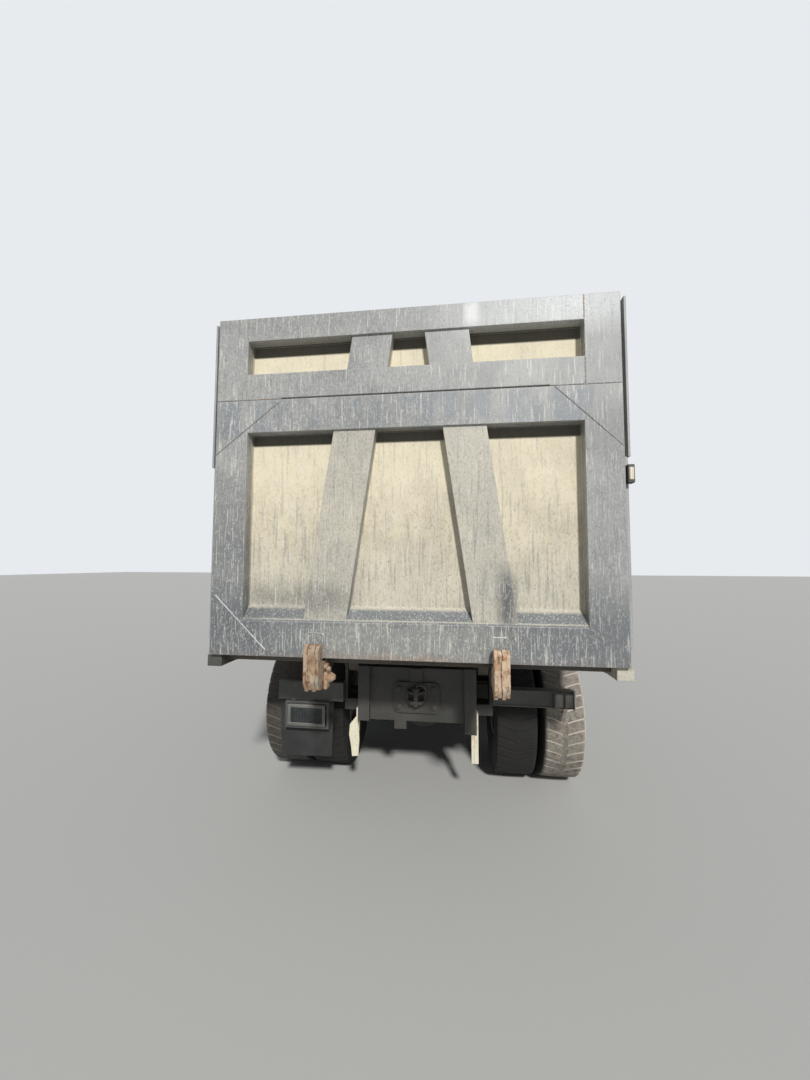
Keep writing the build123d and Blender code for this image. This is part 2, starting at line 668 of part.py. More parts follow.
# Front axle: a dropped beam with spring seats and kingpin eyes
eye_half = 55.0
eye_z = (490.0, 620.0)
kingpin = 26.0
beam_low = 430.0
beam_high = 520.0
spring_pad = 14.0
with BuildPart() as front_axle:
    half_beam = [(0, beam_low), (560, beam_low), (740, eye_z[0]), (kingpin_half - 20, eye_z[0]),
                 (kingpin_half - 20, eye_z[1]), (690, eye_z[1]), (560, beam_high), (0, beam_high)]
    end_plate(half_beam, (front_axle_y - 48.0, front_axle_y + 48.0))
    pocket = [(30, beam_low + 22), (550, beam_low + 22), (700, eye_z[0] + 30), (700, eye_z[1] - 30),
              (550, beam_high - 22), (30, beam_high - 22)]
    end_plate(pocket, (front_axle_y + 14.0, front_axle_y + 48.0), Mode.SUBTRACT)
    end_plate(pocket, (front_axle_y - 48.0, front_axle_y - 14.0), Mode.SUBTRACT)
    seat_span = (front_spring_x - 55.0, front_spring_x + 55.0)
    block(seat_span, (front_axle_y - 100.0, front_axle_y + 100.0), (beam_high - 10.0, beam_high + spring_pad))
    round_z(kingpin_half, front_axle_y, eye_half, eye_z)
    round_z(kingpin_half, front_axle_y, kingpin + run_clear, (eye_z[0] - 10.0, eye_z[1] + 10.0),
            Mode.SUBTRACT)
    mirror(about=Plane.YZ)
save(front_axle.part, "front_axle")

# Front springs: five leaves, longest on top, with an eye at each end
front_leaf = 20.0
front_base = beam_high + spring_pad + seat_gap
with BuildPart() as leaf_springs:
    add(bogie_springs.part)
    for number in range(5):
        half_length = front_spring_half - (4 - number) * 130.0
        rise = 46.0 * (half_length / front_spring_half) ** 2
        low = front_base + number * front_leaf
        with BuildSketch(Plane.YZ.offset(front_spring_x - 40.0)) as leaf_side:
            with BuildLine():
                ends = (front_axle_y - half_length, front_axle_y + half_length)
                ThreePointArc((ends[0], low + rise), (front_axle_y, low), (ends[1], low + rise))
                Line((ends[1], low + rise), (ends[1], low + rise + front_leaf))
                ThreePointArc((ends[1], low + rise + front_leaf), (front_axle_y, low + front_leaf),
                              (ends[0], low + rise + front_leaf))
                Line((ends[0], low + rise + front_leaf), (ends[0], low + rise))
            make_face()
        extrude(leaf_side.sketch, amount=80.0)
    for end_y in (front_axle_y - front_spring_half, front_axle_y + front_spring_half):
        eye_span = (front_spring_x - 40.0, front_spring_x + 40.0)
        round_x(end_y, front_eye_z, 36.0, eye_span)
        round_x(end_y, front_eye_z, spring_pin + run_clear, eye_span, Mode.SUBTRACT)
    for clamp_y in (front_axle_y - 80.0, front_axle_y + 55.0):
        block((front_spring_x - 50, front_spring_x + 50), (clamp_y, clamp_y + 25.0),
              (front_base + 90.0, front_base + 130.0))
    mirror(about=Plane.YZ)
save(leaf_springs.part, "leaf_springs")

# Steering knuckles: a fork on the kingpin, the wheel spindle, and an arm to the tie rod
spindle = 45.0
fork_low = 440.0
fork_high = 672.0
fork_gap = 1.0
knuckle_arm = 200.0
arm_z = 500.0
front_wheel_x = front_track / 2
for side_name, side in (("left", -1), ("right", 1)):
    with BuildPart() as knuckle:
        pin_x = side * kingpin_half
        for fork_z in ((fork_low, eye_z[0] - fork_gap), (eye_z[1] + fork_gap, fork_high)):
            round_z(pin_x, front_axle_y, eye_half, fork_z)
            block(sorted((pin_x, pin_x + side * 95.0)), (front_axle_y - 55, front_axle_y + 55), fork_z)
        block(sorted((pin_x + side * 62.0, pin_x + side * 95.0)), (front_axle_y - 70, front_axle_y + 70),
              (fork_low, fork_high))
        round_z(pin_x, front_axle_y, kingpin, (fork_low - 10.0, fork_high + 10.0))
        round_x(front_axle_y, wheel_radius, spindle,
                sorted((pin_x + side * spindle_start, pin_x + side * spindle_reach)))
        arm_points = [(pin_x + side * 62, front_axle_y - 40), (pin_x + side * 90, front_axle_y - 40),
                      (pin_x - side * 10, front_axle_y - knuckle_arm - 28),
                      (pin_x - side * 70, front_axle_y - knuckle_arm - 28)]
        top_plate(arm_points, (arm_z, arm_z + 30.0))
    save(knuckle.part, f"knuckle_{side_name}")

# Tie rod: a tube between two ball sockets that sit under the knuckle arms
with BuildPart() as tie_rod:
    socket_x = kingpin_half - 40.0
    rod_y = front_axle_y - knuckle_arm
    rod_z = arm_z - 30.0
    round_x(rod_y, rod_z, 18.0, (-socket_x, socket_x))
    for side in (-1, 1):
        round_z(side * socket_x, rod_y, 30.0, (rod_z - 24.0, arm_z - seat_gap))
save(tie_rod.part, "tie_rod")

# Front wheels: a single tyre each, with its rim, disc, drum and hub
for side_name, side in (("left", -1), ("right", 1)):
    with BuildPart() as tyre:
        tyre_ring(side * front_wheel_x)
    save(tyre.part.moved(Location((0, front_axle_y, wheel_radius))), f"tyre_front_{side_name}")
    with BuildPart() as wheel:
        disc_x = side * (front_wheel_x + 90.0)
        rim_profile(side * front_wheel_x, disc_x + side * disc_thick, side)
        drum = sorted((side * (front_wheel_x - 30.0), disc_x))
        round_wheel(drum[0], drum_radius, drum[1] - drum[0])
        hub = sorted((disc_x, disc_x + side * 70.0))
        round_wheel(hub[0], hub_radius - 20.0, hub[1] - hub[0])
        bore = sorted((side * (kingpin_half + spindle_start),
                       side * (kingpin_half + spindle_reach + seat_gap)))
        round_wheel(bore[0], spindle + run_clear, bore[1] - bore[0], Mode.SUBTRACT)
    save(wheel.part.moved(Location((0, front_axle_y, wheel_radius))), f"wheel_front_{side_name}")

# Front bumper: a deep channel that wraps round the corners, with lamp pockets and a step slot
bumper_low = 560.0
bumper_top = 955.0
bumper_wrap = 330.0
bumper_corner = 130.0
lamp_x = (bumper_half - 465.0, bumper_half - 105.0)
lamp_z = (720.0, 870.0)
with BuildPart() as bumper:
    with BuildSketch(Plane.XY.offset(bumper_low)) as from_above:
        with BuildLine():
            Polyline((-bumper_half, nose_y - bumper_wrap), (-bumper_half, nose_y - bumper_corner),
                     (-bumper_half + bumper_corner, nose_y), (bumper_half - bumper_corner, nose_y),
                     (bumper_half, nose_y - bumper_corner), (bumper_half, nose_y - bumper_wrap),
                     (bumper_half - bumper_depth, nose_y - bumper_wrap),
                     (bumper_half - bumper_depth, nose_y - bumper_corner - 20),
                     (bumper_half - bumper_corner - 20, nose_y - bumper_depth),
                     (-bumper_half + bumper_corner + 20, nose_y - bumper_depth),
                     (-bumper_half + bumper_depth, nose_y - bumper_corner - 20),
                     (-bumper_half + bumper_depth, nose_y - bumper_wrap), close=True)
        make_face()
    extrude(from_above.sketch, amount=bumper_top - bumper_low)
    chamfer(bumper.faces().sort_by(Axis.Z)[-1].edges().filter_by(Axis.X).sort_by(Axis.Y)[-1], 22.0)
    block((-380.0, 380.0), (nose_y - 100, nose_y + 10), (630.0, 700.0), Mode.SUBTRACT)
    block((-520.0, 520.0), (nose_y - 25, nose_y + 10), (780.0, 900.0), Mode.SUBTRACT)
    for side in (-1, 1):
        block(sorted((side * lamp_x[0], side * lamp_x[1])), (nose_y - 160, nose_y + 10), lamp_z,
              Mode.SUBTRACT)
        block(sorted((side * 330.0, side * 425.0)), (frame_front + seat_gap, nose_y - bumper_depth + 5),
              (760.0, 900.0))
save(bumper.part, "bumper")

# Headlamps in the bumper's pockets
with BuildPart() as headlamps:
    for side in (-1, 1):
        inside = sorted((side * (lamp_x[0] + seat_gap), side * (lamp_x[1] - seat_gap)))
        block(inside, (nose_y - bumper_depth - 60, nose_y - 14), (lamp_z[0] + seat_gap, lamp_z[1] - seat_gap))
save(headlamps.part, "headlamps")

# Front fenders: a half-round arch over each front wheel, joined to a box with two steps
arch_x = (800.0, cab_width / 2 - fender_inset)
step_y = (front_axle_y + arch_radius - 30.0, cab_front_y - 130.0)
fender_top = cab_floor_low - 40.0
with BuildPart() as front_fenders:
    with BuildSketch(Plane.YZ.offset(arch_x[0])) as arch:
        with Locations((front_axle_y, wheel_radius)):
            Circle(arch_radius + arch_plate)
            Circle(arch_radius, mode=Mode.SUBTRACT)
        with Locations((front_axle_y, wheel_radius - arch_radius)):
            Rectangle(2 * arch_radius + 60, 2 * arch_radius - 40, mode=Mode.SUBTRACT)
    extrude(arch.sketch, amount=arch_x[1] - arch_x[0])
    with BuildSketch(Plane.YZ.offset(arch_x[0])) as steps:
        with BuildLine():
            Polyline((step_y[0] + 34, bumper_low), (step_y[1], bumper_low), (step_y[1], cab_low - 25),
                     (hinge_y, cab_low - 25), (hinge_y, fender_top), (step_y[0] - 70, fender_top),
                     (step_y[0] - 70, fender_top - 115), (step_y[0] + 34, fender_top - 335), close=True)
        make_face()
        with Locations((front_axle_y, wheel_radius)):
            Circle(arch_radius, mode=Mode.SUBTRACT)
    extrude(steps.sketch, amount=arch_x[1] - arch_x[0])
    for well_low in (600.0, 850.0):
        block((arch_x[0] + 130, arch_x[1] + 10), (step_y[0] + 80, step_y[1] - 60),
              (well_low, well_low + 200.0), Mode.SUBTRACT)
    block((frame_half, arch_x[0] + 5), (cab_pivot_y - 240, cab_pivot_y - 160), (900.0, 960.0))
    block((frame_half, arch_x[0] + 5), (front_axle_y - arch_radius + 60, front_axle_y - arch_radius + 130),
          (wheel_radius + 330, wheel_radius + 390))
    mirror(about=Plane.YZ)
save(front_fenders.part, "front_fenders")

# Tipping body, floor: plate on cross bearers and two long beams that lie over the rails;
# ears reach down to the tipping pins
beam_x = (345.0, 415.0)
bearer_width = 70.0
bearer_count = 11
sill_low = 1160.0
sill_thick = 80.0
lock_y = body_rear + sill_thick + 60.0
lock_z = 1180.0
lock_shaft = 22.0
hanger_x = (440.0, 470.0)
with BuildPart() as bed_floor:
    block((-wall_inner, wall_inner), (body_rear, body_front - front_wall_thick), (floor_bottom, floor_top))
    bearer_pitch = (body_front - body_rear - 315.0) / (bearer_count - 1)
    for number in range(bearer_count):
        bearer_y = body_rear + 200.0 + number * bearer_pitch
        block((-wall_outer + 8, wall_outer - 8), (bearer_y, bearer_y + bearer_width),
              (bearer_bottom, floor_bottom))
    block((-wall_outer, wall_outer), (body_rear, body_rear + sill_thick), (sill_low, floor_bottom))
    for side in (-1, 1):
        beam_side = [(tip_y - 60, bearer_bottom), (tip_y, beam_bottom), (body_front, beam_bottom),
                     (body_front, bearer_bottom)]
        side_plate(beam_side, sorted((side * beam_x[0], side * beam_x[1])))
        ear = [(tip_y - 140, bearer_bottom), (tip_y - 60, tip_pivot_height), (tip_y + 60, tip_pivot_height),
               (tip_y + 140, bearer_bottom)]
        ear_x = sorted((side * 450.0, side * 528.0))
        side_plate(ear, ear_x)
        round_x(tip_y, tip_pivot_height, 60.0, ear_x)
        round_x(tip_y, tip_pivot_height, tip_pin + run_clear, ear_x, Mode.SUBTRACT)
        block(sorted((side * beam_x[0], side * 528.0)), (tip_y - 140, tip_y + 140),
              (bearer_bottom - 30, bearer_bottom))
        hanger = [(lock_y - 70, bearer_bottom), (lock_y - 45, lock_z - 45), (lock_y + 45, lock_z - 45),
                  (lock_y + 70, bearer_bottom)]
        hanger_span = sorted((side * hanger_x[0], side * hanger_x[1]))
        side_plate(hanger, hanger_span)
        block(hanger_span, (body_rear, lock_y + 120), (bearer_bottom, floor_bottom))
        round_x(lock_y, lock_z, lock_shaft + run_clear, hanger_span, Mode.SUBTRACT)
save(bed_floor.part, "bed_floor")

# Tipping body, side walls: a pressed wall with lengthwise grooves between a rear corner
# post, a front post and the two rails, and a lug on top for the gate's pin
groove_heights = (1690.0, 2010.0, 2330.0, 2650.0, 2970.0)
groove_half = 45.0
groove_slope = 28.0
wall_face = 1236.0
groove_face = 1206.0
rail_band = 120.0
gate_pivot_y = gate_y + 200.0
gate_pivot_z = gate_top + 40.0
gate_pin = 25.0
gate_lug = (1165.0, 1205.0)
post_split = gate_bottom + 1180.0
post_front = body_rear + 300.0
for side_name, side in (("left", -1), ("right", 1)):
    with BuildPart() as bed_side:
        wall = [(wall_inner, floor_bottom), (wall_outer, floor_bottom),
                (wall_outer, floor_bottom + rail_band), (wall_face, floor_bottom + rail_band + 14)]
        for groove_z in groove_heights:
            wall.append((wall_face, groove_z - groove_half - groove_slope))
            wall.append((groove_face, groove_z - groove_half))
            wall.append((groove_face, groove_z + groove_half))
            wall.append((wall_face, groove_z + groove_half + groove_slope))
        wall += [(wall_face, gate_top - rail_band - 14), (wall_outer, gate_top - rail_band),
                 (wall_outer, gate_top), (wall_inner, gate_top)]
        end_plate([(side * x, z) for x, z in wall], (body_rear, body_front))
        side_span = sorted((side * (wall_inner + 30), side * wall_outer))
        block(side_span, (body_rear, body_rear + 420.0), (floor_bottom, gate_top))
        block(side_span, (body_front - 220.0, body_front), (floor_bottom, gate_top))
        # thin edges of the corner post, beside the gate
        upper_edge = sorted((side * (post_outer - 12.0), side * post_outer))
        block(upper_edge, (gate_y + 35.0, post_front), (post_split, gate_top - 6.0))
        block(sorted((side * (wall_outer - 2), side * post_outer)), (post_front - 50.0, post_front),
              (post_split, gate_top - 6.0))
        lower_edge = sorted((side * (wall_outer - 2), side * (post_outer - 11.0)))
        block(lower_edge, (gate_y + 45.0, post_front), (floor_bottom, post_split))
        foot_span = sorted((side * 1163.0, side * 1246.0))
        block(foot_span, (body_rear + 80.5, body_rear + 199.5), (gate_bottom - 78.0, floor_bottom))
        lug = [(gate_pivot_y - 60, gate_top), (gate_pivot_y - 34, gate_pivot_z + 24),
               (gate_pivot_y + 34, gate_pivot_z + 24), (gate_pivot_y + 90, gate_top)]
        lug_span = sorted((side * gate_lug[0], side * gate_lug[1]))
        side_plate(lug, lug_span)
        round_x(gate_pivot_y, gate_pivot_z, 40.0, lug_span)
        round_x(gate_pivot_y, gate_pivot_z, gate_pin + run_clear, lug_span, Mode.SUBTRACT)
        if side > 0:
            boss_z = gate_bottom + 430.0
            round_x(gate_y + 130.0, boss_z, 40.0, (wall_outer, post_outer - 7.0))
            round_x(gate_y + 130.0, boss_z, 15.0, (wall_outer, post_outer + 20.0))
            block((wall_outer, post_outer - 5.0), (gate_y + 90.0, gate_y + 160.0),
                  (gate_bottom + 88.0, gate_bottom + 183.0))
    save(bed_side.part, f"bed_side_{side_name}")

# Tipping body, front wall: a plate with upright ribs, a sloped canopy over the cab's
# gap and the two cheeks beside the hoist
hoist_trunnion_z = 1350.0
cheek_gap = 160.0
cheek_plate = 25.0
trunnion_pin = 30.0
saddle_drift = 22.0
front_face = body_front
with BuildPart() as bed_front_wall:
    block((-wall_inner, wall_inner), (front_face - front_wall_thick, front_face - 30), (floor_bottom, gate_top))
    for rib_x in (-1060.0, -640.0, -280.0, 280.0, 640.0, 1060.0):
        block((rib_x - 55, rib_x + 55), (front_face - 31, front_face + 35), (floor_top, gate_top - 90))
    block((-wall_inner, wall_inner), (front_face - 31, front_face + 35), (gate_top - 120, gate_top))
    block((-wall_inner, wall_inner), (front_face - 31, front_face + 35), (floor_top, floor_top + 110))
    canopy = [(front_face + 34, gate_top - 12), (front_face + 34, gate_top),
              (front_face + canopy_length, gate_top + 50), (front_face + canopy_length, gate_top - 20),
              (front_face + canopy_length - 10, gate_top - 20), (front_face + canopy_length - 10, gate_top + 37)]
    side_plate(canopy, (-wall_outer, wall_outer))
    gusset = [(front_face + 34, gate_top - 2), (front_face + 34, gate_top - 200),
              (front_face + canopy_length - 60, gate_top + 40)]
    for gusset_x in (-1115.0, -645.0, -10.0, 635.0, 1105.0):
        side_plate(gusset, (gusset_x, gusset_x + 10.0))
    cheek = [(front_face + 34, hoist_trunnion_z - 30), (hoist_y - 40, hoist_trunnion_z - 60),
             (hoist_y + 70, hoist_trunnion_z - 60), (hoist_y + 70, hoist_trunnion_z + 60),
             (front_face + 34, hoist_trunnion_z + 200)]
    for side in (-1, 1):
        cheek_x = sorted((side * cheek_gap, side * (cheek_gap + cheek_plate)))
        side_plate(cheek, cheek_x)
        # saddle over the hoist's trunnion, open below
        round_x(hoist_y, hoist_trunnion_z, trunnion_pin + seat_gap, cheek_x, Mode.SUBTRACT)
        block(cheek_x, (hoist_y - trunnion_pin - seat_gap, hoist_y + trunnion_pin + saddle_drift),
              (hoist_trunnion_z - 80.0, hoist_trunnion_z + 22.0), Mode.SUBTRACT)
        block(sorted((side * cheek_gap, side * 300.0)), (front_face + 20, front_face + 50),
              (hoist_trunnion_z - 30, hoist_trunnion_z + 200))
save(bed_front_wall.part, "bed_front_wall")

# Tailgate: a box frame round a sunk panel, with two upright ribs that lean inward to the top
recess_half = 1020.0
recess_low = 210.0
recess_high = 1388.0
panel_depth = 88.0
ledge_rise = 92.0
rib_sunk = 12.0
# columns: left and right edge at the bottom, left and right edge at the top
lower_ribs = ((-635.0, -371.0, -461.0, -198.0), (384.0, 637.0, 211.0, 469.0))
upper_ribs = ((-381.0, -127.0, -349.0, -95.0), (131.0, 394.0, 102.0, 369.0))
half_gate = gate_width / 2
with BuildPart() as tailgate:
    block((-half_gate, half_gate), (gate_y, gate_y + gate_thick), (gate_bottom, seam_z - 5.0))
    low = gate_bottom + recess_low
    high = gate_bottom + recess_high
    block((-recess_half, recess_half), (gate_y, gate_y + panel_depth), (low, high), Mode.SUBTRACT)
    ledge = [(gate_y, low), (gate_y + panel_depth, low + ledge_rise), (gate_y + panel_depth, low)]
    side_plate(ledge, (-recess_half, recess_half))
    for bottom_left, bottom_right, top_left, top_right in lower_ribs:
        end_plate([(bottom_left, low), (bottom_right, low), (top_right, high), (top_left, high)],
                  (gate_y + rib_sunk, gate_y + panel_depth))
save(tailgate.part, "tailgate")

# Gate board: the raised upper part of the gate, with its own sunk panel, short ribs and
# the two arms that carry the gate's pins
board_low = 165.0
board_high = 385.0
board_recess_half = 1030.0
gate_arm = (1085.0, 1125.0)
with BuildPart() as gate_board:
    block((-half_gate, half_gate), (gate_y, gate_y + gate_thick), (seam_z - 5.0, gate_top))
    low = seam_z + board_low
    high = seam_z + board_high
    block((-board_recess_half, board_recess_half), (gate_y, gate_y + panel_depth), (low, high), Mode.SUBTRACT)
    for bottom_left, bottom_right, top_left, top_right in upper_ribs:
        end_plate([(bottom_left, low), (bottom_right, low), (top_right, high), (top_left, high)],
                  (gate_y + rib_sunk, gate_y + panel_depth))
    block((-800.0, 830.0), (gate_y, gate_y + 8.0), (seam_z - 5.0, seam_z + 5.0), Mode.SUBTRACT)
    for side in (-1, 1):
        arm = [(gate_y + gate_thick - 1, gate_top - 240), (gate_y + gate_thick + 60, gate_top - 60),
               (gate_pivot_y + 40, gate_pivot_z), (gate_pivot_y, gate_pivot_z + 40),
               (gate_pivot_y - 40, gate_pivot_z + 30), (gate_y + gate_thick - 1, gate_top)]
        side_plate(arm, sorted((side * gate_arm[0], side * gate_arm[1])))
        pin_span = sorted((side * gate_arm[0], side * (gate_lug[1] + 15.0)))
        round_x(gate_pivot_y, gate_pivot_z, gate_pin, pin_span)
save(gate_board.part, "gate_board")

# Gate locks: two hooks of four plates each on one cross shaft under the floor
hook_plate = 20.0
hook_gap = 2.0
hook_left = -588.0
hook_right = 490.0
with BuildPart() as gate_locks:
    for start_x in (hook_left, hook_right):
        for number in range(4):
            plate_x = start_x + number * (hook_plate + hook_gap)
            longer = 10.0 * (number % 2)
            hook = [(gate_y - 96 + longer, gate_bottom + 60), (gate_y - 62, gate_bottom + 94 - longer),
                    (gate_y - 16, gate_bottom + 84), (gate_y - 16, gate_bottom - 24),
                    (body_rear - 28, gate_bottom - 24), (body_rear - 12, sill_low - 12),
                    (body_rear + sill_thick + 4, sill_low - 12), (lock_y - 40, lock_z + 22),
                    (lock_y, lock_z + 46), (lock_y + 46, lock_z), (lock_y, lock_z - 46),
                    (gate_y + 40, gate_bottom - 150), (gate_y - 20, gate_bottom - 168 - longer),
                    (gate_y - 62, gate_bottom - 178 + longer), (gate_y - 96 + longer, gate_bottom - 120)]
            side_plate(hook, (plate_x, plate_x + hook_plate))
        block((start_x + 2, start_x + 84), (gate_y - 40, gate_y - 24), (gate_bottom - 130, gate_bottom - 60))
    hook_width = 4 * hook_plate + 3 * hook_gap
    round_x(lock_y, lock_z, lock_shaft, (hook_left, hook_right + hook_width))
    for collar_x in (hook_left + hook_width, hook_right - 14.0):
        round_x(lock_y, lock_z, 36.0, (collar_x, collar_x + 14.0))
save(gate_locks.part, "gate_locks")

# Telescopic hoist: foot rod on the frame, two stages and the outer cover with its trunnion
hoist_top = 2950.0
stage_names = ("hoist_stage_lower", "hoist_stage_upper")
tube_radii = (60.0, 78.0, 96.0, 115.0)
tube_gap = 2.0
gland_height = 45.0
with BuildPart() as hoist_foot:
    round_x(hoist_y, foot_z, 55.0, (-foot_half, foot_half))
    round_z(0, hoist_y, tube_radii[0], (foot_z + 30.0, hoist_top - 110.0))
    round_x(hoist_y, foot_z, foot_pin + run_clear, (-foot_half, foot_half), Mode.SUBTRACT)
save(hoist_foot.part, "hoist_foot")
for number, name in enumerate(stage_names):
    with BuildPart() as stage:
        low_z = foot_z + 120.0 + 70.0 * number
        high_z = hoist_top - 80.0 + 30.0 * number
        round_z(0, hoist_y, tube_radii[number + 1], (low_z, high_z))
        round_z(0, hoist_y, tube_radii[number] + seat_gap, (low_z, high_z), Mode.SUBTRACT)
        round_z(0, hoist_y, tube_radii[number] + tube_gap, (low_z + gland_height, high_z), Mode.SUBTRACT)
    save(stage.part, name)
with BuildPart() as hoist_cover:
    round_z(0, hoist_y, tube_radii[3], (hoist_trunnion_z - 90.0, hoist_top))
    round_z(0, hoist_y, tube_radii[3] + 14.0, (hoist_trunnion_z - 90.0, hoist_trunnion_z + 60.0))
    cover_low = hoist_trunnion_z - 90.0
    round_z(0, hoist_y, tube_radii[2] + seat_gap, (cover_low, cover_low + gland_height), Mode.SUBTRACT)
    round_z(0, hoist_y, tube_radii[2] + tube_gap, (cover_low + gland_height, hoist_top - 12.0), Mode.SUBTRACT)
    for side in (-1, 1):
        stub = sorted((side * (tube_radii[2] + 10.0), side * (cheek_gap + cheek_plate + fit_gap)))
        round_x(hoist_y, hoist_trunnion_z, trunnion_pin, stub)
save(hoist_cover.part, "hoist_cover")

# Cab: one lofted outer form and its inner form make a shell, which is split where the
# real panels meet
brow_z = cab_roof - 120.0
# columns: height, half width, rear, front, corner radius
cab_sections = (
    (cab_low, cab_width / 2, 0.0, cab_length, 110.0),
    (cab_waist, cab_width / 2, 0.0, cab_length, 120.0),
    (brow_z, cab_width / 2 - 55.0, 40.0, cab_length - 242.0, 110.0),
    (cab_roof, cab_width / 2 - 135.0, 110.0, cab_length - 372.0, 90.0),
)


def cab_form(inset):
    """The cab's outer form, moved inward by inset."""
    with BuildPart() as form:
        levels = []
        for height, half_width, rear, front, corner in cab_sections:
            lift = inset * max(0.0, height - cab_waist) / (cab_roof - cab_waist)
            with BuildSketch(Plane.XY.offset(height - lift)) as level:
                with Locations((0, cab_back_y + (rear + front) / 2)):
                    RectangleRounded(2 * (half_width - inset), front - rear - 2 * inset, corner - inset / 2)
            levels.append(level.sketch)
        loft(levels, ruled=True)
    return form.part


def cab_zone(rear, front):
    return (cab_back_y + rear, cab_back_y + front)


cab_outer = cab_form(0.0)
cab_inner = cab_form(cab_wall)
glass_outer = cab_form(16.0)
glass_inner = cab_form(22.0)
roof_drop = 170.0
roof_split = cab_roof - roof_drop
back_split = 120.0
wide = (-cab_width / 2 - 125.0, cab_width / 2 + 125.0)
door_gap = 5.0
door_rear = 560.0
door_front = hinge_y - cab_back_y
door_low = cab_low + 160.0
door_belt = cab_waist + 50.0
door_high = roof_split - 40.0
door_lean = 150.0
door_outline = ((door_rear, door_low), (door_front, door_low), (door_front, door_belt),
                (door_front - door_lean, door_high), (door_rear, door_high))
window_rim = 80.0
window_outline = ((door_rear + window_rim + 10, door_belt + 10), (door_front - window_rim, door_belt + 10),
                  (door_front - door_lean - window_rim + 20, door_high - window_rim),
                  (door_rear + window_rim + 10, door_high - window_rim))
front_split = door_front + 10.0
shell_low = cab_floor_low - 5.0
screen_half = cab_width / 2 - 195.0
screen_z = (cab_waist + 10.0, roof_split - 70.0)
grille_half = 760.0
grille_slots = 6
grille_slot = 46.0
grille_pitch = 88.0
back_window_half = 620.0
back_window_z = (cab_waist + 100.0, cab_waist + 560.0)
tunnel_plate = 18.0
tunnel_half = engine_half + 100.0
tunnel_top = engine_top + 100.0
tunnel_front = engine_front + tunnel_plate + 35.5 - cab_back_y


def cab_shell(outer, inner):
    with BuildPart() as shell:
        add(outer)
        add(inner, mode=Mode.SUBTRACT)
    return shell.part


panel_shell = cab_shell(cab_outer, cab_inner)
glass_shell = cab_shell(glass_outer, glass_inner)


def cab_outline(points):
    return [(cab_back_y + y, z) for y, z in points]


with BuildPart() as cab_roof_panel:
    add(panel_shell)
    block(wide, cab_zone(0, cab_length), (roof_split, cab_roof + 10), Mode.INTERSECT)
save(cab_roof_panel.part, "cab_roof")

with BuildPart() as cab_front:
    add(panel_shell)
    block(wide, cab_zone(front_split, cab_length + 10), (cab_low - 10, roof_split), Mode.INTERSECT)
    block((-screen_half, screen_half), cab_zone(front_split, cab_length + 10), screen_z, Mode.SUBTRACT)
    for number in range(grille_slots):
        slot_z = cab_low + 120.0 + number * grille_pitch
        block((-grille_half, grille_half), cab_zone(cab_length - cab_wall - 20, cab_length + 10),
              (slot_z, slot_z + grille_slot), Mode.SUBTRACT)
save(cab_front.part, "cab_front")

with BuildPart() as cab_back:
    add(panel_shell)
    block(wide, cab_zone(-10, back_split), (shell_low, roof_split), Mode.INTERSECT)
    block((-tunnel_half, tunnel_half), cab_zone(-10, cab_wall + 10), (shell_low, tunnel_top), Mode.SUBTRACT)
    block((-back_window_half, back_window_half), cab_zone(-10, cab_wall + 30), back_window_z, Mode.SUBTRACT)
save(cab_back.part, "cab_back")

# Door hinges: barrels that stand proud of the side, two fixed ones round each on the door
hinge_x = cab_width / 2 + 15.0
hinge_radius = 10.0
hinge_levels = (door_low + 110.0, door_belt - 200.0)
barrel = 30.0
leaf_reach = 20.0


def hinge_barrel(side, low_z, along):
    """One hinge barrel with the tab that joins it to the panel; along is the tab's (low, high) y."""
    span = (low_z + 0.25, low_z + barrel - 0.25)
    round_z(side * hinge_x, hinge_y, hinge_radius, span)
    tab = sorted((side * (cab_width / 2 - 1.0), side * (hinge_x + 2.0)))
    block(tab, (hinge_y + along[0], hinge_y + along[1]), span)


with BuildPart() as cab_sides:
    add(panel_shell)
    block(wide, cab_zone(back_split, front_split), (shell_low, roof_split), Mode.INTERSECT)
    side_plate(cab_outline(door_outline), wide, Mode.SUBTRACT)
    for side in (-1, 1):
        for level in hinge_levels:
            hinge_barrel(side, level, (0.0, 9.0))
            hinge_barrel(side, level + 2 * barrel, (0.0, 9.0))
save(cab_sides.part, "cab_sides")

for side_name, side in (("left", -1), ("right", 1)):
    half_zone = sorted((side * 900.0, side * wide[1]))
    with BuildPart() as door:
        add(panel_shell)
        with BuildSketch(Plane.YZ.offset(half_zone[0])) as door_face:
            with BuildLine():
                Polyline(*cab_outline(door_outline), close=True)
            make_face()
            offset(amount=-door_gap, mode=Mode.REPLACE)
        extrude(door_face.sketch, amount=wide[1] - 900.0, mode=Mode.INTERSECT)
        side_plate(cab_outline(window_outline), half_zone, Mode.SUBTRACT, corner=40.0)
        for level in hinge_levels:
            hinge_barrel(side, level + barrel, (-leaf_reach, 0.0))
    save(door.part, f"door_{side_name}")
    with BuildPart() as pane:
        add(glass_shell)
        with BuildSketch(Plane.YZ.offset(half_zone[0])) as pane_face:
            with BuildLine():
                Polyline(*cab_outline(window_outline), close=True)
            make_face()
            fillet(pane_face.vertices(), 40.0)
            offset(amount=-seat_gap, mode=Mode.REPLACE)
        extrude(pane_face.sketch, amount=wide[1] - 900.0, mode=Mode.INTERSECT)
    save(pane.part, f"door_glass_{side_name}")

with BuildPart() as windscreen:
    add(glass_shell)
    inner_x = (-screen_half + seat_gap, screen_half - seat_gap)
    inner_z = (screen_z[0] + seat_gap, screen_z[1] - seat_gap)
    block(inner_x, cab_zone(front_split, cab_length + 10), inner_z, Mode.INTERSECT)

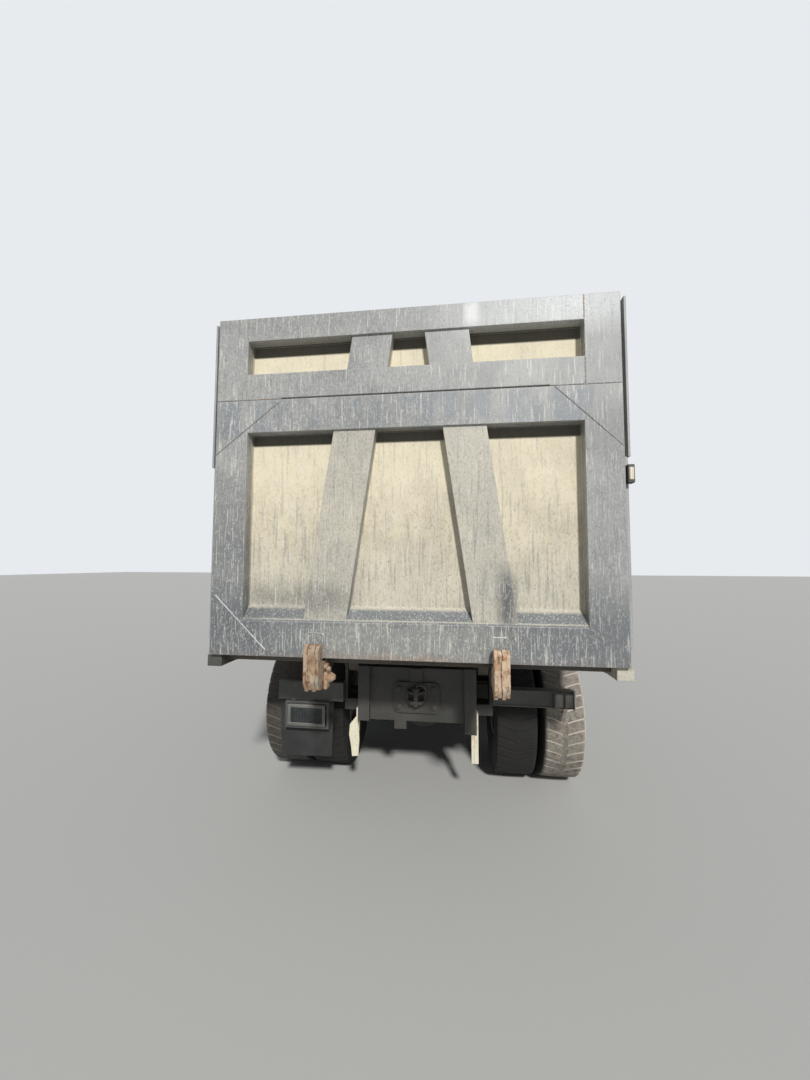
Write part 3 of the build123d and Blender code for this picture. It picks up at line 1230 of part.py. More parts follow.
with BuildPart() as cab_windows:
    add(glass_shell)
    back_x = (-back_window_half + seat_gap, back_window_half - seat_gap)
    back_z = (back_window_z[0] + seat_gap, back_window_z[1] - seat_gap)
    block(back_x, cab_zone(-10, cab_wall + 30), back_z, Mode.INTERSECT)
    add(windscreen.part)
save(cab_windows.part, "cab_windows")

# Cab floor with the engine tunnel and the arms of the tilt pivots
with BuildPart() as cab_floor_panel:
    with BuildSketch(Plane.XY.offset(cab_floor_low)) as floor_face:
        with Locations((0, (cab_back_y + cab_front_y) / 2)):
            RectangleRounded(cab_width - 2 * cab_wall, cab_length - 2 * cab_wall, 95.0)
    extrude(floor_face.sketch, amount=cab_floor_plate)
    tunnel = (-tunnel_half, tunnel_half)
    block(tunnel, cab_zone(cab_wall, tunnel_front), (cab_floor_low, tunnel_top))
    block((tunnel[0] + tunnel_plate, tunnel[1] - tunnel_plate), cab_zone(0, tunnel_front - tunnel_plate),
          (cab_floor_low - 75, tunnel_top - tunnel_plate), Mode.SUBTRACT)
    for side in (-1, 1):
        arm_x = sorted((side * (cab_cheeks[0] + 24.0), side * (cab_cheeks[1] - 8.0)))
        arm_points = [(cab_pivot_y - 110, cab_floor_low + 1), (cab_pivot_y - 38, cab_pivot_z),
                      (cab_pivot_y + 38, cab_pivot_z), (cab_pivot_y + 60, cab_floor_low + 1)]
        side_plate(arm_points, arm_x)
        round_x(cab_pivot_y, cab_pivot_z, 38.0, arm_x)
        round_x(cab_pivot_y, cab_pivot_z, cab_pin + run_clear, arm_x, Mode.SUBTRACT)
save(cab_floor_panel.part, "cab_floor")

# Seats: base, cushion and back for the driver and one passenger
seat_middle = 760.0
seat_floor = cab_floor_top
with BuildPart() as seats:
    for seat_x in (-seat_middle, seat_middle):
        block((seat_x - 170, seat_x + 170), cab_zone(560, 900), (seat_floor, seat_floor + 200))
        block((seat_x - 250, seat_x + 250), cab_zone(500, 1000), (seat_floor + 200, seat_floor + 330))
        back_side = [(450, seat_floor + 250), (570, seat_floor + 250), (500, seat_floor + 1000),
                     (400, seat_floor + 1000)]
        side_plate(cab_outline(back_side), (seat_x - 240, seat_x + 240))
    chamfer(seats.edges().filter_by(Axis.X).group_by(Axis.Z)[-1], 30.0)
save(seats.part, "seats")

# Dashboard across the cab, with the steering column and wheel before the driver
wheel_tilt = 35.0
dash_half = cab_width / 2 - cab_wall - 35.0
dash_foot = 30.0
dash_front = cab_length - cab_wall - 37.0
with BuildPart() as dashboard:
    dash_side = [(dash_front - 325, cab_waist - 200), (dash_front - 265, cab_waist),
                 (dash_front - 185, cab_waist + 40), (dash_front, cab_waist), (dash_front, cab_waist - 300),
                 (dash_front - 125, cab_waist - 360)]
    side_plate(cab_outline(dash_side), (-dash_half, dash_half))
    for side in (-1, 1):
        block(sorted((side * (dash_half - dash_foot), side * dash_half)), cab_zone(dash_front - 85, dash_front),
              (cab_floor_top, cab_waist - 300))
    column_start = Vector(-seat_middle, cab_back_y + dash_front - 310.0, cab_waist - 170.0)
    column_run = Vector(0, -cos(radians(wheel_tilt)) * 230.0, sin(radians(wheel_tilt)) * 230.0 + 60.0)
    hub_middle = column_start + column_run
    with BuildSketch(Plane(origin=column_start, z_dir=column_run)) as column_end:
        Circle(32.0)
    extrude(column_end.sketch, amount=column_run.length)
    wheel_plane = Plane(origin=hub_middle, x_dir=(1, 0, 0), z_dir=column_run)
    with BuildSketch(wheel_plane) as spokes:
        Circle(70.0)
        Rectangle(420.0, 30.0)
    extrude(spokes.sketch, amount=18.0)
    with BuildSketch(Plane(origin=hub_middle + column_run.normalized() * 9.0, x_dir=(1, 0, 0),
                           z_dir=column_run)) as rim_face:
        Circle(228.0)
        Circle(200.0, mode=Mode.SUBTRACT)
    extrude(rim_face.sketch, amount=14.0, both=True)
save(dashboard.part, "dashboard")

# Mirrors on arms from the front pillars
mirror_y = cab_length - 232.0
mirror_inner = cab_width / 2 + 50.0
mirror_width = 170.0
mirror_middle = mirror_inner + mirror_width / 2
mirror_arm = 8.0
side_lean = 55.0 / (brow_z - cab_waist)
with BuildPart() as mirrors:
    for side in (-1, 1):
        mirror_x = sorted((side * mirror_inner, side * (mirror_inner + mirror_width)))
        block(mirror_x, cab_zone(mirror_y - 60, mirror_y - 10), (cab_waist - 50, cab_waist + 400))
        block(mirror_x, cab_zone(mirror_y - 60, mirror_y - 10), (cab_waist - 300, cab_waist - 100))
        for arm_height in (cab_waist + 330.0, cab_waist - 20.0, cab_waist - 200.0):
            lean = max(0.0, arm_height - 12.0 - cab_waist) * side_lean
            arm_root = cab_width / 2 - lean + seat_gap
            round_x(cab_back_y + mirror_y, arm_height, mirror_arm, sorted((side * arm_root, side * mirror_middle)))
        round_z(side * mirror_middle, cab_back_y + mirror_y, 12.0, (cab_waist - 250.0, cab_waist + 360.0))
save(mirrors.part, "mirrors")
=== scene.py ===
# %% [markdown]
# # A rear-tipping dump truck, dressed over its construction model
# The construction model gives every panel, beam and wheel at its true size and place. This
# lesson keeps that model as a fixed frame, and adds what a steel truck gets in its working
# life: weld beads, bolts, tyre tread, lamps, cushions, dust, rain streaks and rust.
# Lengths are metres. +Y is forward, +X is the truck's right side, +Z is up.

# %% Load the frame
import json
import math
import random

import bmesh
import bpy
import numpy as np
from mathutils import Matrix, Vector


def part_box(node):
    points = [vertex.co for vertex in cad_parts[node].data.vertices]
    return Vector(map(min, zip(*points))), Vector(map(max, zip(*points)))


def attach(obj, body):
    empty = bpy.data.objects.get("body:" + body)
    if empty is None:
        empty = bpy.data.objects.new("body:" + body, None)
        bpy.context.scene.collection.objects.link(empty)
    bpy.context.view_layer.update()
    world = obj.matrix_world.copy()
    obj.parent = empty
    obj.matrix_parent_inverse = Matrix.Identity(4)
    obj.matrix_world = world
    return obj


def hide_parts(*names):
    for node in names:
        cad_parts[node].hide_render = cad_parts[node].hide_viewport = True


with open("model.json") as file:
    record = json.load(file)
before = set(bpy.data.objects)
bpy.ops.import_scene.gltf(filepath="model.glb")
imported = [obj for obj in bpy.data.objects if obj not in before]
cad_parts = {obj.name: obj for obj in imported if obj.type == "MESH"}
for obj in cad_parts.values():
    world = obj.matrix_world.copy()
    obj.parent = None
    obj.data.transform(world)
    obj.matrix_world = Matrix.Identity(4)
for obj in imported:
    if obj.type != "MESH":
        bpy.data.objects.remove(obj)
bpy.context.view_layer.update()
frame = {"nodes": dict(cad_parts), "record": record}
nodes = frame["nodes"]

# %% [markdown]
# The tailgate's rear face is the plane that all the rear details are placed from. Reading it
# from the frame, and not typing it, keeps a detail on the steel when the frame changes.

# %% Stations read from the frame
gate_low, gate_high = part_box("tailgate")
gate_y, gate_bottom, seam_z = gate_low.y, gate_low.z, gate_high.z
gate_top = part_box("gate_board")[1].z
print(f"gate face at y {gate_y:.4f}, from z {gate_bottom:.3f} to {gate_top:.3f}, seam {seam_z:.3f}")

# %% [markdown]
# The photographer stood close behind the truck, a little right of its middle, with a very
# wide lens tilted slightly up. A short lens that near makes the gate look large and the rest
# of the truck small, so the camera's place matters as much as its direction. The sensor is
# 36 mm along the frame's long side.

# %% Camera
scene = bpy.context.scene
camera_place = Vector((0.264, gate_y - 2.289, gate_bottom + 0.566))
pitch, yaw, roll = math.radians(3.43), math.radians(-6.88), math.radians(0.21)
forward = Vector((math.sin(yaw) * math.cos(pitch), math.cos(yaw) * math.cos(pitch), math.sin(pitch)))
level_right = Vector((math.cos(yaw), -math.sin(yaw), 0.0))
level_up = level_right.cross(forward)
right = math.cos(roll) * level_right + math.sin(roll) * level_up
up = math.cos(roll) * level_up - math.sin(roll) * level_right
camera_data = bpy.data.cameras.new("photo_camera")
camera_data.sensor_width, camera_data.lens = 36.0, 13.0
camera_data.clip_start, camera_data.clip_end = 0.05, 400.0
camera = bpy.data.objects.new("photo_camera", camera_data)
scene.collection.objects.link(camera)
turn = Matrix((right, up, -forward)).transposed()
camera.matrix_world = Matrix.Translation(camera_place) @ turn.to_4x4()
scene.camera = camera
print("camera stands at", [round(v, 3) for v in camera_place])

# %% [markdown]
# Every finish is built from the same few effects, and each effect is a shader node group:
# made once, with named sockets, and placed in each material with its own values. These
# helpers keep the making of nodes short; the surround of the next step already uses them.
# Objects of the frame sit at the origin, so Object coordinates are metres on the truck and
# move with a piece when it tips or turns.

# %% Helpers for nodes
def add_node(tree, kind, sets=None, **settings):
    """A node with its settings; a value in sets that is a socket is linked, any other is set."""
    node = tree.nodes.new(kind)
    for name, value in settings.items():
        setattr(node, name, value)
    for name, value in (sets or {}).items():
        if hasattr(value, "is_output"):
            tree.links.new(value, node.inputs[name])
        else:
            node.inputs[name].default_value = value
    return node


def new_group(name, inputs, outputs):
    """Inputs are names with their values, None for a vector; outputs are floats but for Color and Normal."""
    group = bpy.data.node_groups.new(name, "ShaderNodeTree")
    for label, value in inputs.items():
        kind = "NodeSocketVector" if value is None else "NodeSocketFloat"
        socket = group.interface.new_socket(name=label, in_out="INPUT", socket_type=kind)
        if value is not None:
            socket.default_value = value
    for label in outputs:
        kind = {"Color": "NodeSocketColor", "Normal": "NodeSocketVector"}.get(label, "NodeSocketFloat")
        group.interface.new_socket(name=label, in_out="OUTPUT", socket_type=kind)
    print("group:", name)
    return group, add_node(group, "NodeGroupInput").outputs, add_node(group, "NodeGroupOutput").inputs


def use_group(tree, group, **sets):
    return add_node(tree, "ShaderNodeGroup", sets, node_tree=group).outputs


def math_node(tree, operation, a, b=0.5, clamp=False):
    return add_node(tree, "ShaderNodeMath", {0: a, 1: b}, operation=operation, use_clamp=clamp).outputs[0]


def times(tree, a, b, clamp=False):
    return math_node(tree, "MULTIPLY", a, b, clamp)


def plus(tree, a, b, clamp=False):
    return math_node(tree, "ADD", a, b, clamp)


def minus(tree, a, b):
    return math_node(tree, "SUBTRACT", a, b)


def split(tree, vector):
    return add_node(tree, "ShaderNodeSeparateXYZ", {0: vector}).outputs


def ramp(tree, value, low, high, to_low=0.0, to_high=1.0, smooth=True):
    """Turns low..high into to_low..to_high, flat outside, soft at both ends."""
    sets = {"Value": value, "From Min": low, "From Max": high, "To Min": to_low, "To Max": to_high}
    kind = "SMOOTHSTEP" if smooth else "LINEAR"
    return add_node(tree, "ShaderNodeMapRange", sets, interpolation_type=kind).outputs["Result"]


def mix_colour(tree, share, under, over):
    node = add_node(tree, "ShaderNodeMix", {"Factor": share}, data_type="RGBA")
    for socket, value in (("A", under), ("B", over)):
        target = [s for s in node.inputs if s.name == socket and s.type == "RGBA"][0]
        if hasattr(value, "is_output"):
            tree.links.new(value, target)
        else:
            target.default_value = (*value[:3], 1.0)
    return [s for s in node.outputs if s.type == "RGBA"][0]


def noise(tree, place, scale, detail=4.0, rough=0.55, stretch=None):
    """Fractal noise from 0 to 1, stretched by a scale for each axis if given."""
    if stretch is not None:
        place = add_node(tree, "ShaderNodeMapping", {"Vector": place, "Scale": stretch}).outputs[0]
    sets = {"Vector": place, "Scale": scale, "Detail": detail, "Roughness": rough}
    return add_node(tree, "ShaderNodeTexNoise", sets).outputs["Fac"]


print("node helpers ready")

# %% [markdown]
# The light is a plain studio: one large soft key from above the photographer's right
# shoulder, and an even pale surround that fills the shadows. The surround is shown to the
# camera and to reflections as a pale backdrop, but lights the truck at a lower strength, so
# that a painted colour renders about as it is written.

# %% Lights, surround and floor
scene.view_settings.view_transform = "Standard"
key = bpy.data.lights.new("key", "SUN")
key.energy = 3.2
key.angle = math.radians(5.0)
key.color = (1.0, 0.985, 0.96)
key_lamp = bpy.data.objects.new("key", key)
scene.collection.objects.link(key_lamp)
toward_key = Vector((0.22, -0.77, 0.58))
key_lamp.rotation_euler = toward_key.to_track_quat("Z", "Y").to_euler()

world = bpy.data.worlds.new("surround")
scene.world = world
world.use_nodes = True
sky = world.node_tree
sky.nodes.clear()
fill = add_node(sky, "ShaderNodeBackground", {"Color": (0.9, 0.95, 1.0, 1.0), "Strength": 0.28})
shown = add_node(sky, "ShaderNodeBackground", {"Color": (0.8, 0.83, 0.86, 1.0), "Strength": 1.0})
ray = add_node(sky, "ShaderNodeLightPath").outputs
seen = math_node(sky, "MAXIMUM", ray["Is Camera Ray"], ray["Is Glossy Ray"])
seen = math_node(sky, "MAXIMUM", seen, ray["Is Transmission Ray"])
pick = add_node(sky, "ShaderNodeMixShader", {"Fac": seen, 1: fill.outputs[0], 2: shown.outputs[0]})
add_node(sky, "ShaderNodeOutputWorld", {"Surface": pick.outputs[0]})

floor_half = 60.0
floor_mesh = bpy.data.meshes.new("floor")
corners = [(x * floor_half, y * floor_half, 0) for x, y in ((-1, -1), (1, -1), (1, 1), (-1, 1))]
floor_mesh.from_pydata(corners, [], [(0, 1, 2, 3)])
floor = bpy.data.objects.new("floor", floor_mesh)
scene.collection.objects.link(floor)
floor_paint = bpy.data.materials.new("floor_paint")
floor_paint.use_nodes = True
floor_shader = floor_paint.node_tree.nodes["Principled BSDF"]
floor_shader.inputs["Base Color"].default_value = (0.5, 0.5, 0.485, 1.0)
floor_shader.inputs["Roughness"].default_value = 0.9
floor_mesh.materials.append(floor_paint)
print("stage: floor, key and surround")

# %% [markdown]
# Rain runs: water that leaves the top edges carries dust down a wall in thin upright lines.
# They could be painted by hand, but a noise that is fine across and long along Z gives the
# same rhythm on every wall. Share says how much of the wall the runs cover.

# %% Group: rain runs
runs_group, at, out = new_group(
    "rain_runs", {"Place": None, "Fineness": 40.0, "Shortness": 1.2, "Share": 0.45}, ["Mask"])
tree = runs_group
axes = split(tree, at["Place"])
scaled = [times(tree, axis, at[name]) for axis, name in zip(axes, ("Fineness", "Fineness", "Shortness"))]
stretched = add_node(tree, "ShaderNodeCombineXYZ", dict(enumerate(scaled))).outputs[0]
lines = noise(tree, stretched, 1.0, 3.0, 0.6)
edge = minus(tree, 0.78, times(tree, at["Share"], 0.5))
tree.links.new(times(tree, minus(tree, lines, edge), 9.0, True), out["Mask"])

# %% [markdown]
# Grit: blown sand and stone chips leave a wall full of pale and dark specks a few
# millimetres wide. A fine noise with a hard threshold gives them. Pale specks sit in the
# group's first mask and dark ones in the second, so a material can colour each its own way.

# %% Group: grit
grit_group, at, out = new_group("grit", {"Place": None, "Grains": 160.0, "Share": 0.3}, ["Pale", "Dark", "Height"])
tree = grit_group
specks = noise(tree, at["Place"], at["Grains"], 3.0, 0.75, (1.0, 1.0, 0.55))
reach = times(tree, at["Share"], 0.22)
pale = times(tree, minus(tree, specks, minus(tree, 0.7, reach)), 12.0, True)
dark = times(tree, minus(tree, plus(tree, 0.3, reach), specks), 12.0, True)
for name, result in (("Pale", pale), ("Dark", dark), ("Height", specks)):
    tree.links.new(result, out[name])

# %% [markdown]
# Settled dust: it lies on what faces up, thins out on walls, and gathers in patches. The
# mask adds the upward part of the surface's own normal to a broad noise. The normal is the
# object's own, so that dust stays where it is when the body tips.

# %% Group: settled dust
dust_group, at, out = new_group(
    "settled_dust", {"Place": None, "Facing": None, "Amount": 0.4, "Patches": 2.5}, ["Mask"])
tree = dust_group
lies = ramp(tree, split(tree, at["Facing"])[2], 0.1, 0.95, 0.0, 0.9)
broad = noise(tree, at["Place"], at["Patches"], 5.0, 0.62)
fine = noise(tree, at["Place"], 55.0, 3.0, 0.7)
cloud = plus(tree, ramp(tree, broad, 0.34, 0.66), times(tree, fine, 0.45))
both = plus(tree, lies, times(tree, cloud, 0.62))
tree.links.new(times(tree, both, at["Amount"], True), out["Mask"])

# %% [markdown]
# Worn edges: paint goes first where stones and hands reach, on the corners. The Bevel node
# rounds the shading normal near an edge, and the angle between that normal and the true one
# says how near an edge a point is. The rounded normal goes out too, because no plate has a
# knife edge and the soft corner catches the light.

# %% Group: worn edges
edge_group, at, out = new_group(
    "worn_edges", {"Place": None, "Width": 0.006, "Breaks": 22.0, "Share": 0.5}, ["Mask", "Normal"])
tree = edge_group
soft_normal = add_node(tree, "ShaderNodeBevel", {"Radius": at["Width"]}, samples=3).outputs[0]
true_normal = add_node(tree, "ShaderNodeNewGeometry").outputs["Normal"]
agree = add_node(tree, "ShaderNodeVectorMath", {0: soft_normal, 1: true_normal}, operation="DOT_PRODUCT")
bend = ramp(tree, agree.outputs["Value"], 0.995, 0.86)
broken = noise(tree, at["Place"], at["Breaks"], 4.0, 0.7)
keep = plus(tree, minus(tree, broken, 0.62), at["Share"], True)
tree.links.new(times(tree, bend, times(tree, keep, 2.2, True), True), out["Mask"])
tree.links.new(soft_normal, out["Normal"])

# %% [markdown]
# Rust: bare steel that stands in the rain goes from dark brown to orange in scales. A coarse
# and a fine noise drive one colour ramp, and the same noises give the height for the bump.

# %% Group: rust
rust_group, at, out = new_group("rust", {"Place": None, "Size": 18.0, "Share": 0.3}, ["Color", "Mask", "Height"])
tree = rust_group
scales = noise(tree, at["Place"], at["Size"], 8.0, 0.68)
grains = noise(tree, at["Place"], 210.0, 3.0, 0.7)
blend_of = plus(tree, times(tree, scales, 0.75), times(tree, grains, 0.25))
tones = add_node(tree, "ShaderNodeValToRGB", {"Fac": blend_of})
stops = ((0.34, (0.055, 0.03, 0.02)), (0.45, (0.19, 0.085, 0.04)), (0.53, (0.36, 0.17, 0.075)),
         (0.64, (0.55, 0.34, 0.19)))
while len(tones.color_ramp.elements) < len(stops):
    tones.color_ramp.elements.new(0.5)
for element, (place_on_ramp, tone) in zip(tones.color_ramp.elements, stops):
    element.position = place_on_ramp
    element.color = (*tone, 1.0)
spread = minus(tree, scales, minus(tree, 0.72, times(tree, at["Share"], 0.5)))
tree.links.new(tones.outputs["Color"], out["Color"])
tree.links.new(times(tree, spread, 10.0, True), out["Mask"])
tree.links.new(blend_of, out["Height"])

# %% [markdown]
# A band says where along one axis a finish lies: inside between Low and High, with soft
# ends. The gate's material uses it for its sunk panels, its dark lower rail and its stains.

# %% Group: band
band_group, at, out = new_group("band", {"Value": 0.0, "Low": 0.0, "High": 1.0, "Soft": 0.02}, ["Mask"])
tree = band_group
rise = math_node(tree, "DIVIDE", minus(tree, at["Value"], at["Low"]), at["Soft"])
fall = math_node(tree, "DIVIDE", minus(tree, at["High"], at["Value"]), at["Soft"])
tree.links.new(math_node(tree, "MINIMUM", plus(tree, rise, 0.5, True), plus(tree, fall, 0.5, True)), out["Mask"])

# %% [markdown]
# A finish is laid in coats, as on the road: a colour in two tones, then masks of runs, grit,
# rust and dust that each lay another colour over it. The class keeps what every material
# needs in one place: its shader, the place on the truck in metres, the object's own normal
# and the colour so far. Constants go straight onto the shader's sockets.

# %% Coats of a finish
class Coats:
    """A material in the making, with a call for each group that it can use."""

    def __init__(self, name, rough=0.6, metallic=0.0, **constants):
        self.material = bpy.data.materials.new(name)
        self.material.use_nodes = True
        self.tree = self.material.node_tree
        self.shader = self.tree.nodes["Principled BSDF"]
        for socket, value in {"Roughness": rough, "Metallic": metallic, **constants}.items():
            self.shader.inputs[socket.replace("_", " ")].default_value = value
        where = add_node(self.tree, "ShaderNodeTexCoord").outputs
        self.place, self.facing = where["Object"], where["Normal"]

    def use(self, group, **values):
        return use_group(self.tree, group, Place=self.place, **values)

    def runs(self, fineness, shortness, share):
        return self.use(runs_group, Fineness=fineness, Shortness=shortness, Share=share)["Mask"]

    def grit(self, grains, share):
        return self.use(grit_group, Grains=grains, Share=share)

    def rust(self, size, share):
        return self.use(rust_group, Size=size, Share=share)

    def dust(self, amount, patches):
        return self.use(dust_group, Facing=self.facing, Amount=amount, Patches=patches)["Mask"]

    def worn(self, width, breaks, share):
        return self.use(edge_group, Width=width, Breaks=breaks, Share=share)

    def patches(self, scale, detail=5.0, rough=0.6, low=0.35, high=0.65, stretch=None):
        """Soft patches of a noise, from 0 to 1."""
        return ramp(self.tree, noise(self.tree, self.place, scale, detail, rough, stretch), low, high)

    def lay(self, over, mask, share=None, clamp=False):
        """Another colour over the one so far, as far as the mask and its share say."""
        if share is not None:
            mask = times(self.tree, mask, share, clamp)
        self.colour = mix_colour(self.tree, mask, self.colour, over)

    def drive(self, socket, mask, low, high, to_low, to_high):
        value = ramp(self.tree, mask, low, high, to_low, to_high, smooth=False)
        self.tree.links.new(value, self.shader.inputs[socket])

    def finish(self, height=None, distance=0.001, strength=1.0, normal=None):
        """Links the colour and the bump, and gives the material."""
        self.tree.links.new(self.colour, self.shader.inputs["Base Color"])
        if height is not None:
            sets = {"Height": height, "Distance": distance, "Strength": strength}
            if normal is not None:
                sets["Normal"] = normal
            bump = add_node(self.tree, "ShaderNodeBump", sets)
            self.tree.links.new(bump.outputs[0], self.shader.inputs["Normal"])
        return self.material


print("coats ready")

# %% [markdown]
# Weathered paint is the finish of most of the truck. Each row of the table is one real
# finish, with the columns: paint, second tone, dust colour, roughness, metallic, rain runs,
# settled dust, rust, pale grit, and edge wear. One function lays the same coats in the order
# in which they come on the road: paint, runs, grit, rust, dust and last the bare edges.

# %% Weathered paints
def weathered(name, paint, second, dust, rough, metallic, runs, dusty, rusty, gritty, edges):
    coats = Coats(name, rough, metallic)
    tree = coats.tree
    coats.colour = mix_colour(tree, coats.patches(3.2, 6.0), paint, second)
    coats.lay([c * 0.45 for c in paint], coats.runs(34.0, 1.1, runs), 0.55)
    coats.lay(dust, coats.runs(95.0, 3.0, runs * 0.8), 0.5)
    grit = coats.grit(150.0, gritty)
    coats.lay(dust, grit["Pale"], 0.55)
    coats.lay([c * 0.35 for c in paint], grit["Dark"], 0.5)
    rust = coats.rust(9.0, rusty)
    rust_mask = times(tree, rust["Mask"], min(1.0, rusty * 2.5))
    coats.lay(rust["Color"], rust_mask)
    coat = coats.dust(dusty, 2.2)
    coats.lay(dust, coat)
    worn = coats.worn(0.006, 20.0, edges)
    bare = mix_colour(tree, ramp(tree, grit["Height"], 0.4, 0.6), (0.3, 0.27, 0.25), (0.52, 0.5, 0.47))
    coats.lay(bare, worn["Mask"], 0.75)
    coats.drive("Roughness", math_node(tree, "MAXIMUM", coat, rust_mask), 0.0, 1.0, rough, 0.92)
    height = plus(tree, times(tree, grit["Height"], 0.5), times(tree, rust_mask, 0.6))
    return coats.finish(height, 0.0015, 0.6, worn["Normal"])


pale_dust = (0.56, 0.53, 0.46)
road_dust = (0.4, 0.36, 0.3)
paint_table = {
    "body_paint": ((0.34, 0.36, 0.37), (0.27, 0.29, 0.31), pale_dust, 0.48, 0.0, 0.5, 0.34, 0.16, 0.55, 0.55),
    "cab_paint": ((0.36, 0.38, 0.41), (0.31, 0.33, 0.36), pale_dust, 0.32, 0.0, 0.28, 0.26, 0.05, 0.3, 0.35),
    # the chassis is black paint, made darker still as painted shade for the shade under the body
    "chassis_paint": ((0.022, 0.023, 0.021), (0.034, 0.033, 0.03), road_dust, 0.62, 0.0, 0.14, 0.1, 0.1, 0.22, 0.24),
    "wheel_paint": ((0.2, 0.205, 0.21), (0.13, 0.13, 0.13), road_dust, 0.55, 0.0, 0.3, 0.42, 0.3, 0.5, 0.55),
    "hanger_paint": ((0.8, 0.76, 0.6), (0.72, 0.67, 0.51), road_dust, 0.55, 0.0, 0.35, 0.2, 0.34, 0.6, 0.75),
    "tow_paint": ((0.026, 0.026, 0.023), (0.036, 0.035, 0.031), road_dust, 0.66, 0.0, 0.08, 0.05, 0.06, 0.25, 0.26),
    "guard_paint": ((0.064, 0.069, 0.064), (0.047, 0.051, 0.047), road_dust, 0.6, 0.0, 0.12, 0.11, 0.1, 0.3, 0.34),
    "lamp_frame_paint": ((0.11, 0.113, 0.105), (0.085, 0.088, 0.082), pale_dust, 0.55, 0.0, 0.2, 0.25, 0.12, 0.4, 0.4),
    "cast_block": ((0.13, 0.13, 0.13), (0.09, 0.085, 0.08), road_dust, 0.7, 0.3, 0.2, 0.5, 0.35, 0.5, 0.3),
    "air_tank_paint": ((0.045, 0.046, 0.048), (0.07, 0.07, 0.07), road_dust, 0.4, 0.0, 0.3, 0.34, 0.08, 0.35, 0.4),
    "hoist_paint": ((0.055, 0.058, 0.062), (0.085, 0.085, 0.085), pale_dust, 0.42, 0.0, 0.35, 0.3, 0.12, 0.35, 0.45),
    "old_weld": ((0.13, 0.14, 0.15), (0.22, 0.22, 0.22), pale_dust, 0.5, 0.2, 0.2, 0.25, 0.35, 0.6, 0.8),
    "fresh_weld": ((0.5, 0.51, 0.51), (0.38, 0.39, 0.38), pale_dust, 0.4, 0.3, 0.1, 0.1, 0.1, 0.4, 0.9),
    "brown_steel": ((0.05, 0.043, 0.036), (0.07, 0.057, 0.046), road_dust, 0.75, 0.1, 0.1, 0.12, 0.12, 0.3, 0.3),
    "shield_paint": ((0.74, 0.74, 0.72), (0.62, 0.62, 0.6), pale_dust, 0.4, 0.3, 0.2, 0.12, 0.12, 0.4, 0.5),
    "foot_paint": ((0.42, 0.41, 0.34), (0.55, 0.53, 0.44), pale_dust, 0.6, 0.0, 0.55, 0.2, 0.2, 0.6, 0.7),
    "trim_grey": ((0.16, 0.165, 0.17), (0.12, 0.122, 0.125), pale_dust, 0.38, 0.2, 0.2, 0.22, 0.04, 0.35, 0.35),
    "blank_plate": ((0.62, 0.6, 0.52), (0.56, 0.54, 0.47), pale_dust, 0.4, 0.0, 0.2, 0.25, 0.02, 0.35, 0.3),
    "load_floor": ((0.05, 0.043, 0.037), (0.08, 0.066, 0.054), road_dust, 0.65, 0.0, 0.2, 0.22, 0.22, 0.4, 0.3),
}
finishes = {name: weathered(name, *row) for name, row in paint_table.items()}
floor_top = 1.3105


def scour(material):
    """Over the dark floor's own coats: steel that loads slide on, scratched, rusty and dusty."""
    tree = material.node_tree
    shader = tree.nodes["Principled BSDF"]
    place = add_node(tree, "ShaderNodeTexCoord").outputs["Object"]
    under = shader.inputs["Base Color"].links[0].from_socket
    scratches = noise(tree, place, 14.0, 5.0, 0.7, (6.0, 0.22, 1.0))
    steel = mix_colour(tree, ramp(tree, scratches, 0.35, 0.65), (0.22, 0.2, 0.18), (0.42, 0.4, 0.37))
    rust = use_group(tree, rust_group, Place=place, Size=5.0, Share=0.62)
    steel = mix_colour(tree, times(tree, rust["Mask"], 0.7), steel, rust["Color"])
    settled = ramp(tree, noise(tree, place, 2.4, 6.0, 0.65), 0.42, 0.66)
    steel = mix_colour(tree, times(tree, settled, 0.75), steel, pale_dust)
    on_top = ramp(tree, split(tree, place)[2], floor_top, floor_top + 0.0013)
    tree.links.new(mix_colour(tree, on_top, under, steel), shader.inputs["Base Color"])


scour(finishes["load_floor"])
print("weathered paints:", ", ".join(finishes))

# %% [markdown]
# The gate carries the photograph's whole story, so it gets a finish of its own: blue-grey
# paint on the frame that darkens downwards, sunk panels filled with tan dust, whitish drips
# that hang from the ledges, a dark smear at the foot of the right rib and a brown edge along
# the bottom. The panels are found by their depth behind the gate's face.

